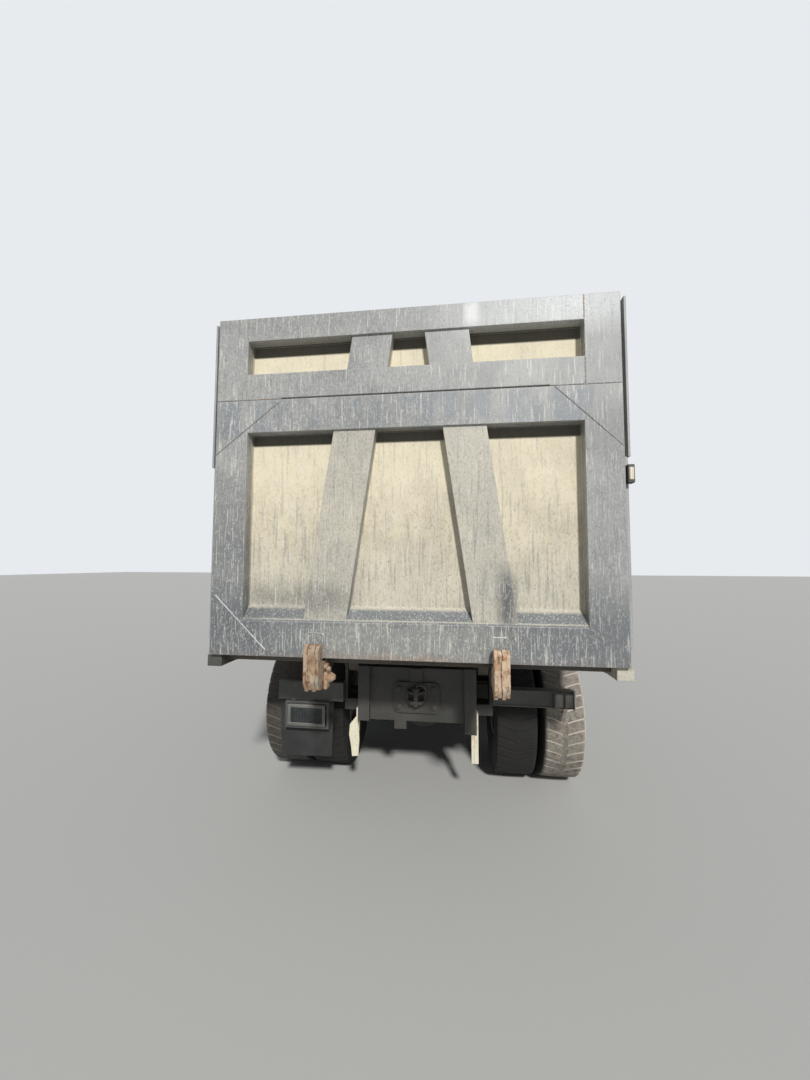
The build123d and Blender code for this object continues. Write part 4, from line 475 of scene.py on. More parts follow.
# %% Gate paint
def gate_paint():
    coats = Coats("gate_paint", 0.5)
    tree, place, lay = coats.tree, coats.place, coats.lay
    axes = split(tree, place)
    wobble = times(tree, minus(tree, noise(tree, place, 7.0, 5.0, 0.65), 0.5), 0.16)
    height = plus(tree, axes[2], wobble)

    def band(value, low, high, soft):
        return use_group(tree, band_group, Value=value, Low=low, High=high, Soft=soft)["Mask"]

    def across(low, high, soft):
        return band(axes[0], low, high, soft)

    def above_foot(low, high, soft):
        return band(height, gate_bottom + low, gate_bottom + high, soft)

    def where(*masks):
        """Where all of the masks are."""
        both = masks[0]
        for mask in masks[1:]:
            both = times(tree, both, mask)
        return both

    # frame faces: silver grey above, blue-grey below
    tone = coats.patches(2.6, 6.0, 0.62, 0.36, 0.64)
    steel_grey = mix_colour(tree, tone, (0.245, 0.25, 0.246), (0.335, 0.338, 0.33))
    coats.colour = mix_colour(tree, where(above_foot(-0.3, 0.36, 0.22), 0.8), steel_grey, (0.125, 0.138, 0.15))
    top_band = band(height, seam_z + 0.36, gate_top + 0.5, 0.16)
    lay((0.52, 0.545, 0.555), where(ramp(tree, axes[0], -0.4, 1.2), top_band), 0.85)
    smear = band(height, seam_z - 0.215, seam_z, 0.05)
    lay((0.15, 0.18, 0.22), where(smear, coats.patches(9.0, 4.0, 0.6, 0.44, 0.6, (1.0, 1.0, 0.25))), 0.5)
    # sunk panels and ribs: tan dust by depth and by place
    deep = ramp(tree, axes[1], gate_y + 0.06, gate_y + 0.08)
    behind = ramp(tree, axes[1], gate_y + 0.094, gate_y + 0.097)
    sunk = where(deep, minus(tree, 1.0, behind))
    tan_tone = coats.patches(4.0, 6.0, 0.65, 0.3, 0.7)
    tan = mix_colour(tree, tan_tone, (0.53, 0.475, 0.365), (0.7, 0.635, 0.475))
    tan = mix_colour(tree, where(above_foot(0.1, 0.62, 0.3), 0.42), tan, (0.42, 0.41, 0.37))
    lay(tan, sunk)
    rib_face = where(ramp(tree, axes[1], gate_y + 0.009, gate_y + 0.011),
                     minus(tree, 1.0, ramp(tree, axes[1], gate_y + 0.013, gate_y + 0.02)))
    rib_tan = mix_colour(tree, tan_tone, (0.43, 0.405, 0.345), (0.55, 0.51, 0.41))
    lay(rib_tan, where(rib_face, band(axes[2], gate_bottom + 0.2, seam_z - 0.2, 0.05)), 0.85)
    # the smear at the foot of the right rib, and a fainter band beside the left one
    right_foot = where(across(0.53, 0.63, 0.07), above_foot(0.17, 0.5, 0.18))
    left_foot = where(across(-1.02, -0.38, 0.14), above_foot(0.27, 0.42, 0.13))
    lay((0.09, 0.095, 0.1), math_node(tree, "MAXIMUM", right_foot, where(left_foot, 0.55)), 0.92)
    # the frame's lower corners are damp and dark, the middle of its bottom rail is dusty
    frame_face = minus(tree, 1.0, sunk)
    for corner, share in ((where(across(-1.4, -0.85, 0.25), above_foot(-0.3, 0.8, 0.35)), 0.46),
                          (where(across(0.8, 1.4, 0.2), above_foot(-0.3, 0.25, 0.15)), 0.18)):
        lay((0.085, 0.096, 0.11), where(corner, frame_face), share)
    lay((0.46, 0.445, 0.385), where(across(-0.55, 0.55, 0.3), above_foot(-0.3, 0.2, 0.05)), 0.3)
    # rain runs, dark and pale, and the fine pale drips below the ledge
    lay((0.16, 0.17, 0.18), coats.runs(58.0, 3.4, 0.46), 0.4)
    lay((0.66, 0.65, 0.61), coats.runs(110.0, 7.0, 0.42), 0.62)
    lay((0.55, 0.555, 0.51), where(coats.runs(75.0, 5.0, 0.44), above_foot(-0.02, 0.22, 0.08)), 0.52)
    # blown grit: dark on the panels, pale on the frame
    grit = coats.grit(115.0, 0.62)
    lay((0.66, 0.65, 0.6), grit["Pale"], 0.5)
    dark_share = add_node(tree, "ShaderNodeMix", {"Factor": sunk, "A": 0.55, "B": 0.5}, data_type="FLOAT").outputs[0]
    lay((0.15, 0.145, 0.13), grit["Dark"], dark_share)
    # brown bottom edge and the whitish patch on the top rail
    middle = plus(tree, where(across(-0.42, 0.3, 0.22), 0.26), 0.1)
    lay(coats.rust(14.0, 0.55)["Color"], where(above_foot(-0.12, 0.03, 0.06), middle))
    pale_patch = where(across(0.345, 0.425, 0.035), band(height, gate_top - 0.215, gate_top - 0.085, 0.05))
    lay((0.8, 0.81, 0.8), pale_patch, 0.55)
    lay((0.15, 0.16, 0.17), across(1.04, 1.3, 0.06), 0.2)
    # the sun has bleached the upper part of the sunk panels
    for low_z, high_z, soft, share in ((seam_z + 0.1, seam_z + 0.42, 0.02, 0.42),
                                       (gate_bottom + 0.95, seam_z - 0.1, 0.3, 0.3)):
        lay((0.92, 0.84, 0.64), where(sunk, band(height, low_z, high_z, soft)), share)
    # painted shadow: a near-black band under the upper edge of each recess
    recess_shadow = [where(band(axes[2], edge_z - 0.064, edge_z + 0.02, 0.012), sunk)
             for edge_z in (gate_bottom + 1.388, seam_z + 0.385)]
    lay((0.058, 0.054, 0.044), math_node(tree, "MAXIMUM", *recess_shadow), 0.9)
    worn = coats.worn(0.007, 16.0, 0.62)
    lay((0.6, 0.6, 0.57), worn["Mask"], 0.6)
    coats.drive("Roughness", math_node(tree, "MAXIMUM", sunk, where(grit["Pale"], 0.8)), 0.0, 1.0, 0.46, 0.93)
    relief = plus(tree, where(grit["Height"], 0.35), where(noise(tree, place, 3.0, 2.0, 0.5), 3.0))
    return coats.finish(relief, 0.0024, 0.55, worn["Normal"])


finishes["gate_paint"] = gate_paint()
print("gate paint ready")

# %% [markdown]
# The smaller finishes: rusted plate is all rust with a little old paint left. Rubber is
# almost black, with dust worked into it. Moulded plastic has a fine grain. Tank metal is
# brushed round the tank, so its grain runs across. Chrome and glass are clean apart from
# dust, and a lamp's lens is coloured, clear plastic with fine ribs. Each table has a row
# for each finish, with the columns of the function that makes it.

# %% Steel, rubber, plastic and metals
def rusted_plate(name, share):
    coats = Coats(name, 0.85, 0.1)
    tree = coats.tree
    rust = coats.rust(26.0, 0.5)
    flakes = coats.patches(34.0, 5.0, 0.75, 0.34, 0.6, (1.0, 1.0, 0.6))
    coats.colour = mix_colour(tree, flakes, rust["Color"], (0.6, 0.47, 0.34))
    coats.lay((0.42, 0.42, 0.37), coats.patches(11.0, 5.0, 0.6, 0.66 - share, 0.7 - share), 0.8)
    axes = split(tree, coats.place)
    # painted shade: the left side darker, and the steel forward of the gate's face darker still
    coats.lay((0.13, 0.085, 0.055), ramp(tree, axes[0], 0.1, -0.1), 0.34)
    in_shade = ramp(tree, axes[1], gate_y + 0.02, gate_y + 0.12)
    coats.lay((0.06, 0.048, 0.04), in_shade, share * 20.0, True)
    worn = coats.worn(0.005, 30.0, 0.5)
    coats.lay((0.62, 0.45, 0.3), worn["Mask"], 0.4)
    return coats.finish(rust["Height"], 0.004, 0.9, worn["Normal"])


def soft_black(name, base, dust, grain, rough, dusty, depth):
    coats = Coats(name, rough)
    coats.colour = mix_colour(coats.tree, coats.patches(6.0), base, [c * 1.7 for c in base])
    coat = coats.dust(dusty, 5.0)
    grit = coats.grit(grain, 0.45)
    coats.lay(dust, grit["Pale"], 0.5)
    coats.lay(dust, coat)
    coats.drive("Roughness", coat, 0.0, 0.8, rough, 0.95)
    return coats.finish(grit["Height"], depth, 0.6)


def brushed(name, base, second, rough, metallic, dusty, stretch):
    coats = Coats(name, rough, metallic)
    hair = noise(coats.tree, coats.place, 40.0, 4.0, 0.7, stretch)
    coats.colour = mix_colour(coats.tree, hair, base, second)
    coat = coats.dust(dusty, 3.0)
    coats.lay(pale_dust, coat)
    coats.drive("Metallic", coat, 0.0, 0.7, metallic, 0.0)
    coats.drive("Roughness", hair, 0.3, 0.7, rough, rough + 0.15)
    return coats.finish(hair, 0.0004, 0.4)


black_table = {
    "tyre_rubber": ((0.036, 0.033, 0.031), (0.34, 0.29, 0.23), 190.0, 0.86, 0.62, 0.0012),
    "flap_rubber": ((0.012, 0.012, 0.013), (0.1, 0.095, 0.085), 140.0, 0.85, 0.2, 0.0008),
    "black_plastic": ((0.026, 0.026, 0.028), (0.34, 0.32, 0.28), 420.0, 0.55, 0.26, 0.0004),
    "seam_shade_black": ((0.012, 0.012, 0.012), (0.1, 0.09, 0.08), 160.0, 0.9, 0.15, 0.0006),
    "soot": ((0.006, 0.006, 0.006), (0.03, 0.028, 0.025), 200.0, 0.95, 0.1, 0.0006),
    "seal_rubber": ((0.014, 0.014, 0.015), (0.22, 0.21, 0.18), 260.0, 0.7, 0.2, 0.0005),
    "dial_face": ((0.01, 0.01, 0.012), (0.5, 0.5, 0.48), 500.0, 0.35, 0.08, 0.0001),
}
metal_table = {
    "tank_metal": ((0.42, 0.43, 0.44), (0.62, 0.63, 0.64), 0.32, 0.9, 0.34, (1.0, 12.0, 1.0)),
    "silencer_metal": ((0.2, 0.14, 0.1), (0.42, 0.37, 0.33), 0.45, 0.7, 0.45, (1.0, 0.5, 1.0)),
    "radiator_metal": ((0.1, 0.1, 0.11), (0.22, 0.22, 0.23), 0.5, 0.6, 0.5, (14.0, 1.0, 1.0)),
    "hoist_chrome": ((0.6, 0.61, 0.62), (0.72, 0.73, 0.74), 0.16, 1.0, 0.12, (1.0, 1.0, 10.0)),
    "reflector": ((0.74, 0.75, 0.76), (0.82, 0.83, 0.84), 0.1, 1.0, 0.1, (1.0, 1.0, 1.0)),
    "mirror_glass": ((0.78, 0.8, 0.81), (0.8, 0.82, 0.83), 0.03, 1.0, 0.08, (1.0, 1.0, 1.0)),
}
finishes["rusty_steel"] = rusted_plate("rusty_steel", 0.05)
finishes.update({name: soft_black(name, *row) for name, row in black_table.items()})
finishes.update({name: brushed(name, *row) for name, row in metal_table.items()})
print("plates, rubber, plastic and metals ready")


# %% Clear and coloured plastics, glass
def lens(name, tint, glow, rough=0.12, dusty=0.38, gleam=0.5):
    coats = Coats(name, rough, Coat_Weight=glow, Coat_Roughness=0.08, Specular_IOR_Level=gleam)
    ribs = add_node(coats.tree, "ShaderNodeTexWave", {"Vector": coats.place, "Scale": 26.0, "Distortion": 0.0},
                    wave_type="BANDS", bands_direction="X").outputs["Fac"]
    coats.colour = mix_colour(coats.tree, ribs, tint, [min(1.0, c * 1.6 + 0.03) for c in tint])
    coat = coats.dust(dusty, 7.0)
    coats.lay(pale_dust, coat)
    coats.drive("Roughness", coat, 0.0, 0.8, rough, 0.7)
    return coats.finish(ribs, 0.0012, 0.7)


def clear_glass(name):
    coats = Coats(name, 0.04, Transmission_Weight=0.92, IOR=1.45)
    coat = coats.dust(0.2, 1.6)
    coats.colour = mix_colour(coats.tree, coat, (0.8, 0.88, 0.86), (0.62, 0.6, 0.55))
    coats.drive("Roughness", coat, 0.0, 0.4, 0.03, 0.45)
    return coats.finish()


lens_table = {
    "red_lens": ((0.3, 0.018, 0.012), 0.7),
    "amber_lens": ((0.56, 0.17, 0.012), 0.7, 0.12, 0.2),
    "clear_lens": ((0.5, 0.52, 0.53), 0.9, 0.06, 0.24),
    # painted shade: this lens is near-black and bluish, the colour of the shade it lies in
    "shade_dark_lens": ((0.004, 0.008, 0.01), 0.1, 0.25, 0.06, 0.2),
    "dirty_lens": ((0.046, 0.038, 0.034), 0.4, 0.3),
    "pale_lens": ((0.56, 0.5, 0.36), 0.5, 0.2),
}
finishes.update({name: lens(name, *row) for name, row in lens_table.items()})
finishes["lamp_plastic"] = finishes["red_lens"]
finishes["window_glass"] = clear_glass("window_glass")
print("lenses and glass ready")

# %% [markdown]
# The fabric of the seats: two crossing waves make the weave, a broad noise the wear, and a
# little sheen the soft edge that cloth has. The threads are about two millimetres apart.

# %% Fabric of the seats
def woven(name, base, worn_tone):
    coats = Coats(name, 0.88, Sheen_Weight=0.35, Sheen_Roughness=0.5)
    sets = {"Vector": coats.place, "Scale": 150.0, "Distortion": 0.6, "Detail": 1.0}
    along, across = [add_node(coats.tree, "ShaderNodeTexWave", sets, wave_type="BANDS", bands_direction=direction)
                     for direction in ("X", "DIAGONAL")]
    weave = math_node(coats.tree, "MAXIMUM", along.outputs["Fac"], across.outputs["Fac"])
    coats.colour = mix_colour(coats.tree, coats.patches(5.0, 4.0, 0.6, 0.38, 0.68), base, worn_tone)
    coats.lay([c * 2.2 for c in base], weave, 0.45)
    return coats.finish(weave, 0.0007, 0.8)


finishes["seat_fabric"] = woven("seat_fabric", (0.05, 0.055, 0.065), (0.1, 0.1, 0.105))
print("fabric ready")

# %% [markdown]
# Every CAD node that stays gets the finish of its slot in the record. The gate's two nodes
# take the gate paint, and the mirrors' arms and the rest follow the table.

# %% Dress the construction model
record_slot = {row["node"]: row["material_slot"] for row in frame["record"]["subparts"]}
own_finish = {"tailgate": "gate_paint", "gate_board": "gate_paint", "tow_coupling": "tow_paint",
              "lamp_brackets": "guard_paint", "headlamps": "clear_lens", "tail_lamps": "dirty_lens",
              "bed_floor": "load_floor"}
for name, node in nodes.items():
    finish = finishes[own_finish.get(name, record_slot[name])]
    for material_slot in node.material_slots:
        material_slot.material = finish
print("dressed", len(nodes), "nodes")

# %% [markdown]
# Added pieces are made from a few plain shapes given as points and faces: a box with
# softened edges, a solid turned from an outline, a tube along points, a hexagon bolt head
# and a weld bead. Joined, a hundred bolts are one mesh and one piece.

# %% Shapes as points and faces
def soft_box(low, high, soft=0.004, steps=1):
    mesh = bmesh.new()
    bmesh.ops.create_cube(mesh, size=1.0)
    size = [b - a for a, b in zip(low, high)]
    middle = [(a + b) / 2 for a, b in zip(low, high)]
    for vertex in mesh.verts:
        vertex.co = Vector([m + s * c for m, s, c in zip(middle, size, vertex.co)])
    soft = min(soft, 0.45 * min(size))
    if soft > 0:
        bmesh.ops.bevel(mesh, geom=list(mesh.edges), offset=soft, segments=steps, affect="EDGES", profile=0.7)
    mesh.verts.index_update()
    points = [vertex.co.copy() for vertex in mesh.verts]
    faces = [[v.index for v in face.verts] for face in mesh.faces]
    mesh.free()
    return points, faces


def axes_of(direction):
    direction = Vector(direction).normalized()
    side = direction.orthogonal().normalized()
    return direction, side, direction.cross(side)


def turned(outline, centre, direction, sides=24, closed=False):
    """A solid of revolution: outline rows are (along, radius); ends close where radius is 0."""
    direction, side, other = axes_of(direction)
    centre = Vector(centre)
    points, rings = [], []
    for along, radius in outline:
        if radius < 1e-6:
            rings.append([len(points)])
            points.append(centre + direction * along)
            continue
        rings.append(list(range(len(points), len(points) + sides)))
        for step in range(sides):
            angle = 2 * math.pi * step / sides
            points.append(centre + direction * along + (side * math.cos(angle) + other * math.sin(angle)) * radius)
    faces = []
    pairs = list(zip(rings, rings[1:])) + ([(rings[-1], rings[0])] if closed else [])
    for low, high in pairs:
        for step in range(sides):
            after = (step + 1) % sides
            if len(low) == 1 and len(high) > 1:
                faces.append([low[0], high[step], high[after]])
            elif len(high) == 1 and len(low) > 1:
                faces.append([low[step], high[0], low[after]])
            elif len(low) > 1:
                faces.append([low[step], high[step], high[after], low[after]])
    return points, faces


def bolt(centre, direction, across=0.024, height=0.014, washer=True):
    """A hexagon head with a rounded crown, on a washer."""
    radius = across / 2 / math.cos(math.pi / 6)
    head = turned([(0, 0), (0, radius), (height * 0.85, radius), (height, radius * 0.82), (height, 0)],
                  centre, direction, 6)
    if not washer:
        return head
    ring = turned([(-0.001, 0), (-0.001, radius * 1.35), (0.003, radius * 1.35), (0.003, 0)], centre, direction, 14)
    return joined([head, ring])


def tube(points, radius, sides=8):
    """A round bar that follows points, with its rings turned as little as possible."""
    points = [Vector(p) for p in points]
    ring_of, made = [], []
    side = axes_of(points[1] - points[0])[1]
    for index, point in enumerate(points):
        ahead = points[min(index + 1, len(points) - 1)] - points[max(index - 1, 0)]
        ahead.normalize()
        side = (side - ahead * side.dot(ahead)).normalized()
        other = ahead.cross(side)
        size = radius[index] if isinstance(radius, (list, tuple)) else radius
        ring_of.append(list(range(len(made), len(made) + sides)))
        for step in range(sides):
            angle = 2 * math.pi * step / sides
            made.append(point + (side * math.cos(angle) + other * math.sin(angle)) * size)
    faces = []
    for low, high in zip(ring_of, ring_of[1:]):
        for step in range(sides):
            after = (step + 1) % sides
            faces.append([low[step], low[after], high[after], high[step]])
    faces += [ring_of[0][::-1], ring_of[-1]]
    return made, faces


def joined(shapes):
    """Many shapes as one."""
    points, faces = [], []
    for shape_points, shape_faces in shapes:
        shift = len(points)
        points.extend(shape_points)
        faces.extend([[index + shift for index in face] for face in shape_faces])
    return points, faces


def round_spots(count, radius, start=0.0):
    """Pairs of offsets, evenly round a circle."""
    angles = [2 * math.pi * (number + start) / count for number in range(count)]
    return [(radius * math.cos(angle), radius * math.sin(angle)) for angle in angles]


def mirrored(shape):
    points, faces = shape
    return [Vector((-p[0], p[1], p[2])) for p in points], [list(reversed(face)) for face in faces]


def both_sides(shape):
    return joined([shape, mirrored(shape)])


sides = (("left", -1), ("right", 1))
upward, downward, rightward, rearward, ahead = (0, 0, 1), (0, 0, -1), (1, 0, 0), (0, -1, 0), (0, 1, 0)
print("shape helpers ready")


# %% [markdown]
# A piece is a mesh that rides on one body of the frame. Smooth shading is kept off across edges sharper than 35
# degrees, so that turned parts look round and boxes stay crisp. Its finish is the one named in its call.


def piece(name, shape, body, finish, sharp=35.0):
    points, faces = shape
    mesh = bpy.data.meshes.new(name)
    mesh.from_pydata([tuple(p) for p in points], [], faces)
    mesh.validate()
    tidy = bmesh.new()
    tidy.from_mesh(mesh)
    bmesh.ops.recalc_face_normals(tidy, faces=tidy.faces)
    for edge in tidy.edges:
        edge.smooth = len(edge.link_faces) == 2 and edge.calc_face_angle(0.0) < math.radians(sharp)
    for face in tidy.faces:
        face.smooth = True
    tidy.to_mesh(mesh)
    tidy.free()
    thing = bpy.data.objects.new(name, mesh)
    scene.collection.objects.link(thing)
    mesh.materials.append(finishes[finish])
    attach(thing, body)
    print(f"{name}: {len(mesh.polygons)} faces on {body}")
    return thing


print("piece maker ready")

# %% [markdown]
# Weld beads: where two plates of the gate's frame meet, a fillet of weld metal stands a few
# millimetres proud, with a ripple for each stop of the torch. A bead is a low half-round
# strip along a line on a face, its width and height stirred a little at every step.

# %% Weld beads
stir = random.Random(11)


def bead(start, end, out, width=0.01, height=0.004, step=0.012, wander=0.0008):
    """A half-round strip from start to end that stands off along out."""
    start, end, out = Vector(start), Vector(end), Vector(out).normalized()
    run = end - start
    across = run.normalized().cross(out)
    count = max(2, int(run.length / step))
    points, faces = [], []
    profile = ((-0.5, -0.15), (-0.36, 0.62), (0, 1.0), (0.36, 0.62), (0.5, -0.15))
    for index in range(count + 1):
        grow = 1.0 + stir.uniform(-0.18, 0.18) + (0.12 if index % 2 else -0.12)
        shift = stir.uniform(-wander, wander)
        middle = start + run * (index / count)
        for offset, lift in profile:
            points.append(middle + across * (offset * width * grow + shift) + out * lift * height * grow)
    wide = len(profile)
    for index in range(count):
        for column in range(wide - 1):
            a = index * wide + column
            faces.append([a, a + 1, a + 1 + wide, a + wide])
    faces.append(list(range(wide)))
    faces.append(list(range(count * wide, count * wide + wide))[::-1])
    return points, faces


def bead_path(points, out, **sizes):
    return joined([bead(a, b, out, **sizes) for a, b in zip(points, points[1:])])


def on_gate(x, z):
    """A point on the gate's rear face: x from the middle and z from the gate's bottom edge."""
    return Vector((x, gate_y, gate_bottom + z))


dark_lines = [
    ((0.859, 1.594), (1.226, 1.235)),
    ((-0.815, 1.578), (-1.226, 1.252)),
    ((-0.815, 1.4), (-0.815, 1.592)),
]
print("bead maker ready")

# %% Welds of the gate
gate_beads = [bead(on_gate(*a), on_gate(*b), rearward, 0.009, 0.0035) for a, b in dark_lines]
thin_lines = [((side * 1.03, low), (side * 1.03, high))
              for _, side in sides for low, high in ((1.992, 2.132), (1.606, 1.76))]
thin_lines += [((-1.226, 1.6), (-0.802, 1.6)), ((0.832, 1.6), (1.226, 1.6))]
thin_lines += [((side * 1.024, 0.206), (side * 1.024 + side * 0.05, 0.16)) for _, side in sides]
gate_beads += [bead(on_gate(*a), on_gate(*b), rearward, 0.008, 0.003) for a, b in thin_lines]
piece("gate_old_welds", joined(gate_beads), "gate", "old_weld")

fresh = [bead(on_gate(-1.204, 0.365), on_gate(-0.867, 0.037), rearward, 0.009, 0.003)]
for centre_x in (-0.552, 0.531):
    half, foot, top = 0.056, 0.092, 0.146
    arch = [(centre_x - half, foot), (centre_x - half, top - 0.016), (centre_x - half + 0.016, top),
            (centre_x + half - 0.016, top), (centre_x + half, top - 0.016), (centre_x + half, foot)]
    fresh.append(bead_path([on_gate(*point) for point in arch], rearward, width=0.008, height=0.004))
piece("gate_fresh_welds", joined(fresh), "gate", "fresh_weld")

# %% [markdown]
# The groove along the seam: the upper board was welded on and the joint left a gap a centimetre high between the two
# corner welds. The groove itself is in the frame; a near-black strip inside it is painted shade, which keeps the groove
# dark under any light.

# %% Seam shade strip
seam = soft_box((-0.8, gate_y + 0.0045, seam_z - 0.0048), (0.83, gate_y + 0.0078, seam_z + 0.0048), 0.001)
# painted shade: a near-black strip that keeps the seam's groove dark
piece("gate_seam_shade", seam, "gate", "seam_shade_black")

# %% [markdown]
# Hook details: a cover plate with a short tube and a nut stands inboard of the left hook,
# where the lock's rod ends. Each hook's plates are welded together at the back by a rough
# line, and the shaft ends in nuts.

# %% Hook fittings
rod_y = gate_y + 0.045
lock_parts = [
    turned([(0, 0), (0, 0.02), (0.047, 0.02), (0.047, 0)],
           (-0.53, rod_y, gate_bottom - 0.058), rightward, 16),
    soft_box((-0.5, rod_y - 0.05, gate_bottom - 0.185), (-0.474, rod_y + 0.012, gate_bottom - 0.083), 0.008),
    turned([(0, 0), (0, 0.03), (0.014, 0.03), (0.04, 0.014), (0.04, 0)],
           (-0.474, rod_y - 0.014, gate_bottom - 0.118), rightward, 14),
    bolt((-0.482, rod_y - 0.014, gate_bottom - 0.072), rightward, 0.03, 0.018),
]
for start_x in (-0.588, 0.49):
    for gap in range(3):
        x = start_x + 0.02 + gap * 0.022 + 0.001
        lock_parts.append(bead((x, gate_y - 0.094, gate_bottom + 0.04), (x, gate_y - 0.094, gate_bottom - 0.11),
                               rearward, 0.01, 0.004, wander=0.002))
piece("hook_fittings", joined(lock_parts), "gate_locks", "rusty_steel")

# %% [markdown]
# Tow coupling: a loose pin stands through the jaw's two lugs with its head on the upper one
# and a bent handle. The plate is bolted to the crossmember at its corners.

# %% Tow pin and plate bolts
plate_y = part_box("tow_coupling")[0].y + 0.066
jaw_y = plate_y - 0.036
lug_top = 0.85
pin = [tube([(0, jaw_y, 0.744), (0, jaw_y, lug_top + 0.012)], 0.0185, 16),
       turned([(0, 0), (0, 0.028), (0.012, 0.03), (0.02, 0.02), (0.02, 0)], (0, jaw_y, lug_top), upward, 18),
       tube([(x, jaw_y, lug_top + rise) for x, rise in
             ((0, 0.016), (0.01, 0.036), (0.034, 0.042), (0.062, 0.032), (0.074, 0.006))], 0.006, 8)]
plate_bolts = [bolt((x, plate_y, z), rearward, 0.03, 0.018) for x in (-0.13, 0.13) for z in (0.722, 0.858)]
piece("tow_pin", joined(pin), "chassis", "brown_steel")
piece("tow_plate_bolts", joined(plate_bolts), "chassis", "tow_paint")

# %% [markdown]
# Tail lamps: the left guard is a pale grey frame round one lens, painted near-black and bluish as painted shade. The
# right bar is a plain box with a dirty lens that can hardly be told from it, and a bright strip of bent metal shields
# its outer end. Each lens is a shallow pillow, so its edge catches the light.

# %% Tail lamp lenses
def pillow(low, high, toward_y, bulge=0.006, steps=8):
    """A lens: a rectangle that swells toward -Y."""
    points, faces = [], []
    for row in range(steps + 1):
        for column in range(steps + 1):
            u, v = column / steps, row / steps
            swell = bulge * (1 - (2 * u - 1) ** 4) * (1 - (2 * v - 1) ** 4)
            points.append(Vector((low[0] + (high[0] - low[0]) * u, toward_y - swell, low[1] + (high[1] - low[1]) * v)))
    for row in range(steps):
        for column in range(steps):
            a = row * (steps + 1) + column
            faces.append([a, a + 1, a + steps + 2, a + steps + 1])
    return points, faces


def lens_frame(low, high, y, deep, wall=0.006):
    x0, z0, x1, z1 = low[0], low[1], high[0], high[1]
    bars = [((x0, z0), (x1, z0 + wall)), ((x0, z1 - wall), (x1, z1)),
            ((x0, z0 + wall), (x0 + wall, z1 - wall)), ((x1 - wall, z0 + wall), (x1, z1 - wall))]
    return joined([soft_box((a[0], y - deep, a[1]), (b[0], y, b[1]), 0.0015) for a, b in bars])


left_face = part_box("tail_lamps")[0].y
left_lens = ((-0.954, 0.574), (-0.705, 0.688))
left_surround = lens_frame((-0.975, 0.553), (-0.684, 0.709), left_face + 0.002, 0.01, 0.022)
piece("left_lamp_surround", left_surround, "chassis", "lamp_frame_paint")
piece("left_lamp_lens", pillow(*left_lens, left_face - 0.001, 0.005), "chassis", "shade_dark_lens")
right_face = left_face + 0.002
right_cells = [((0.975 + 0.068 * n, 0.764), (1.039 + 0.068 * n, 0.864)) for n in range(2)]
for number, (a, b) in enumerate(right_cells, 1):
    glass = pillow((a[0] + 0.005, a[1] + 0.005), (b[0] - 0.005, b[1] - 0.005), right_face)
    piece(f"right_lamp_lens_{number}", glass, "chassis", "dirty_lens")
cell_frames = joined([lens_frame(a, b, right_face, 0.005, 0.004) for a, b in right_cells])
piece("lamp_frames", cell_frames, "chassis", "guard_paint")
shield = soft_box((1.106, right_face - 0.016, 0.752), (1.116, right_face + 0.05, 0.886), 0.002)
piece("lamp_end_shield", shield, "chassis", "shield_paint")

# %% [markdown]
# Marker lamp: on the right rear post a small pale lamp sits in a black housing with an
# upright slot, a little above half height.

# %% Marker lamp on the right post
marker_z = gate_bottom + 1.075
housing = soft_box((1.246, gate_y + 0.006, marker_z - 0.053), (1.284, gate_y + 0.052, marker_z + 0.053), 0.008, 3)
lamp_glass = soft_box((1.253, gate_y + 0.001, marker_z - 0.036), (1.277, gate_y + 0.02, marker_z + 0.036), 0.007, 3)
piece("marker_housing", housing, "bed", "black_plastic")
piece("marker_lens", lamp_glass, "bed", "pale_lens")

# %% [markdown]
# The corner posts end in short feet that show below the gate, scraped bright at the back.

# %% Feet of the corner posts
post_feet = [soft_box((1.166, gate_y + 0.028, gate_bottom - 0.078), (1.258, gate_y + 0.186, gate_bottom - 0.006),
                      0.004, 2),
             bead((1.17, gate_y + 0.0275, gate_bottom - 0.01), (1.254, gate_y + 0.0275, gate_bottom - 0.01),
                  rearward, 0.008, 0.003)]
piece("right_post_foot", joined(post_feet), "bed", "foot_paint")
piece("left_post_foot", mirrored(joined(post_feet)), "bed", "guard_paint")

# %% [markdown]
# Tyre tread: a tyre is a ring whose outline is turned round the axle, so a grid of points
# will do, one way round and the other across. The grid is sheared to follow the pattern: from
# each shoulder curved slots run to the middle, which trails a little, and those of both
# halves meet there. They are worn shallow, with square shoulders, and pale dust lies in them.

# %% Tyres
tyre_radius = 0.5625
tyre_pitches = 42
slot_steps = ((0, 0), (0.035, 1.0), (0.15, 1.0), (0.185, 0), (0.46, 0), (0.73, 0))


def tyre_profile():
    """Across one half of the tyre, from the bead to the middle: (x, radius, how deep a slot is)."""
    return [(0.118, 0.262, 0), (0.1265, 0.27, 0), (0.132, 0.29, 0), (0.15, 0.345, 0), (0.156, 0.4, 0),
            (0.1562, 0.43, 0), (0.1545, 0.47, 0), (0.152, 0.5, 0.3), (0.1505, 0.522, 0.8), (0.149, 0.54, 1),
            (0.145, 0.553, 1), (0.137, 0.558, 1), (0.118, 0.5595, 1), (0.098, 0.5603, 1), (0.078, 0.561, 1),
            (0.06, 0.5615, 0.9), (0.044, 0.5618, 0.9), (0.03, 0.562, 0.8), (0.02, 0.5621, 0.7),
            (0.012, 0.5622, 0)]


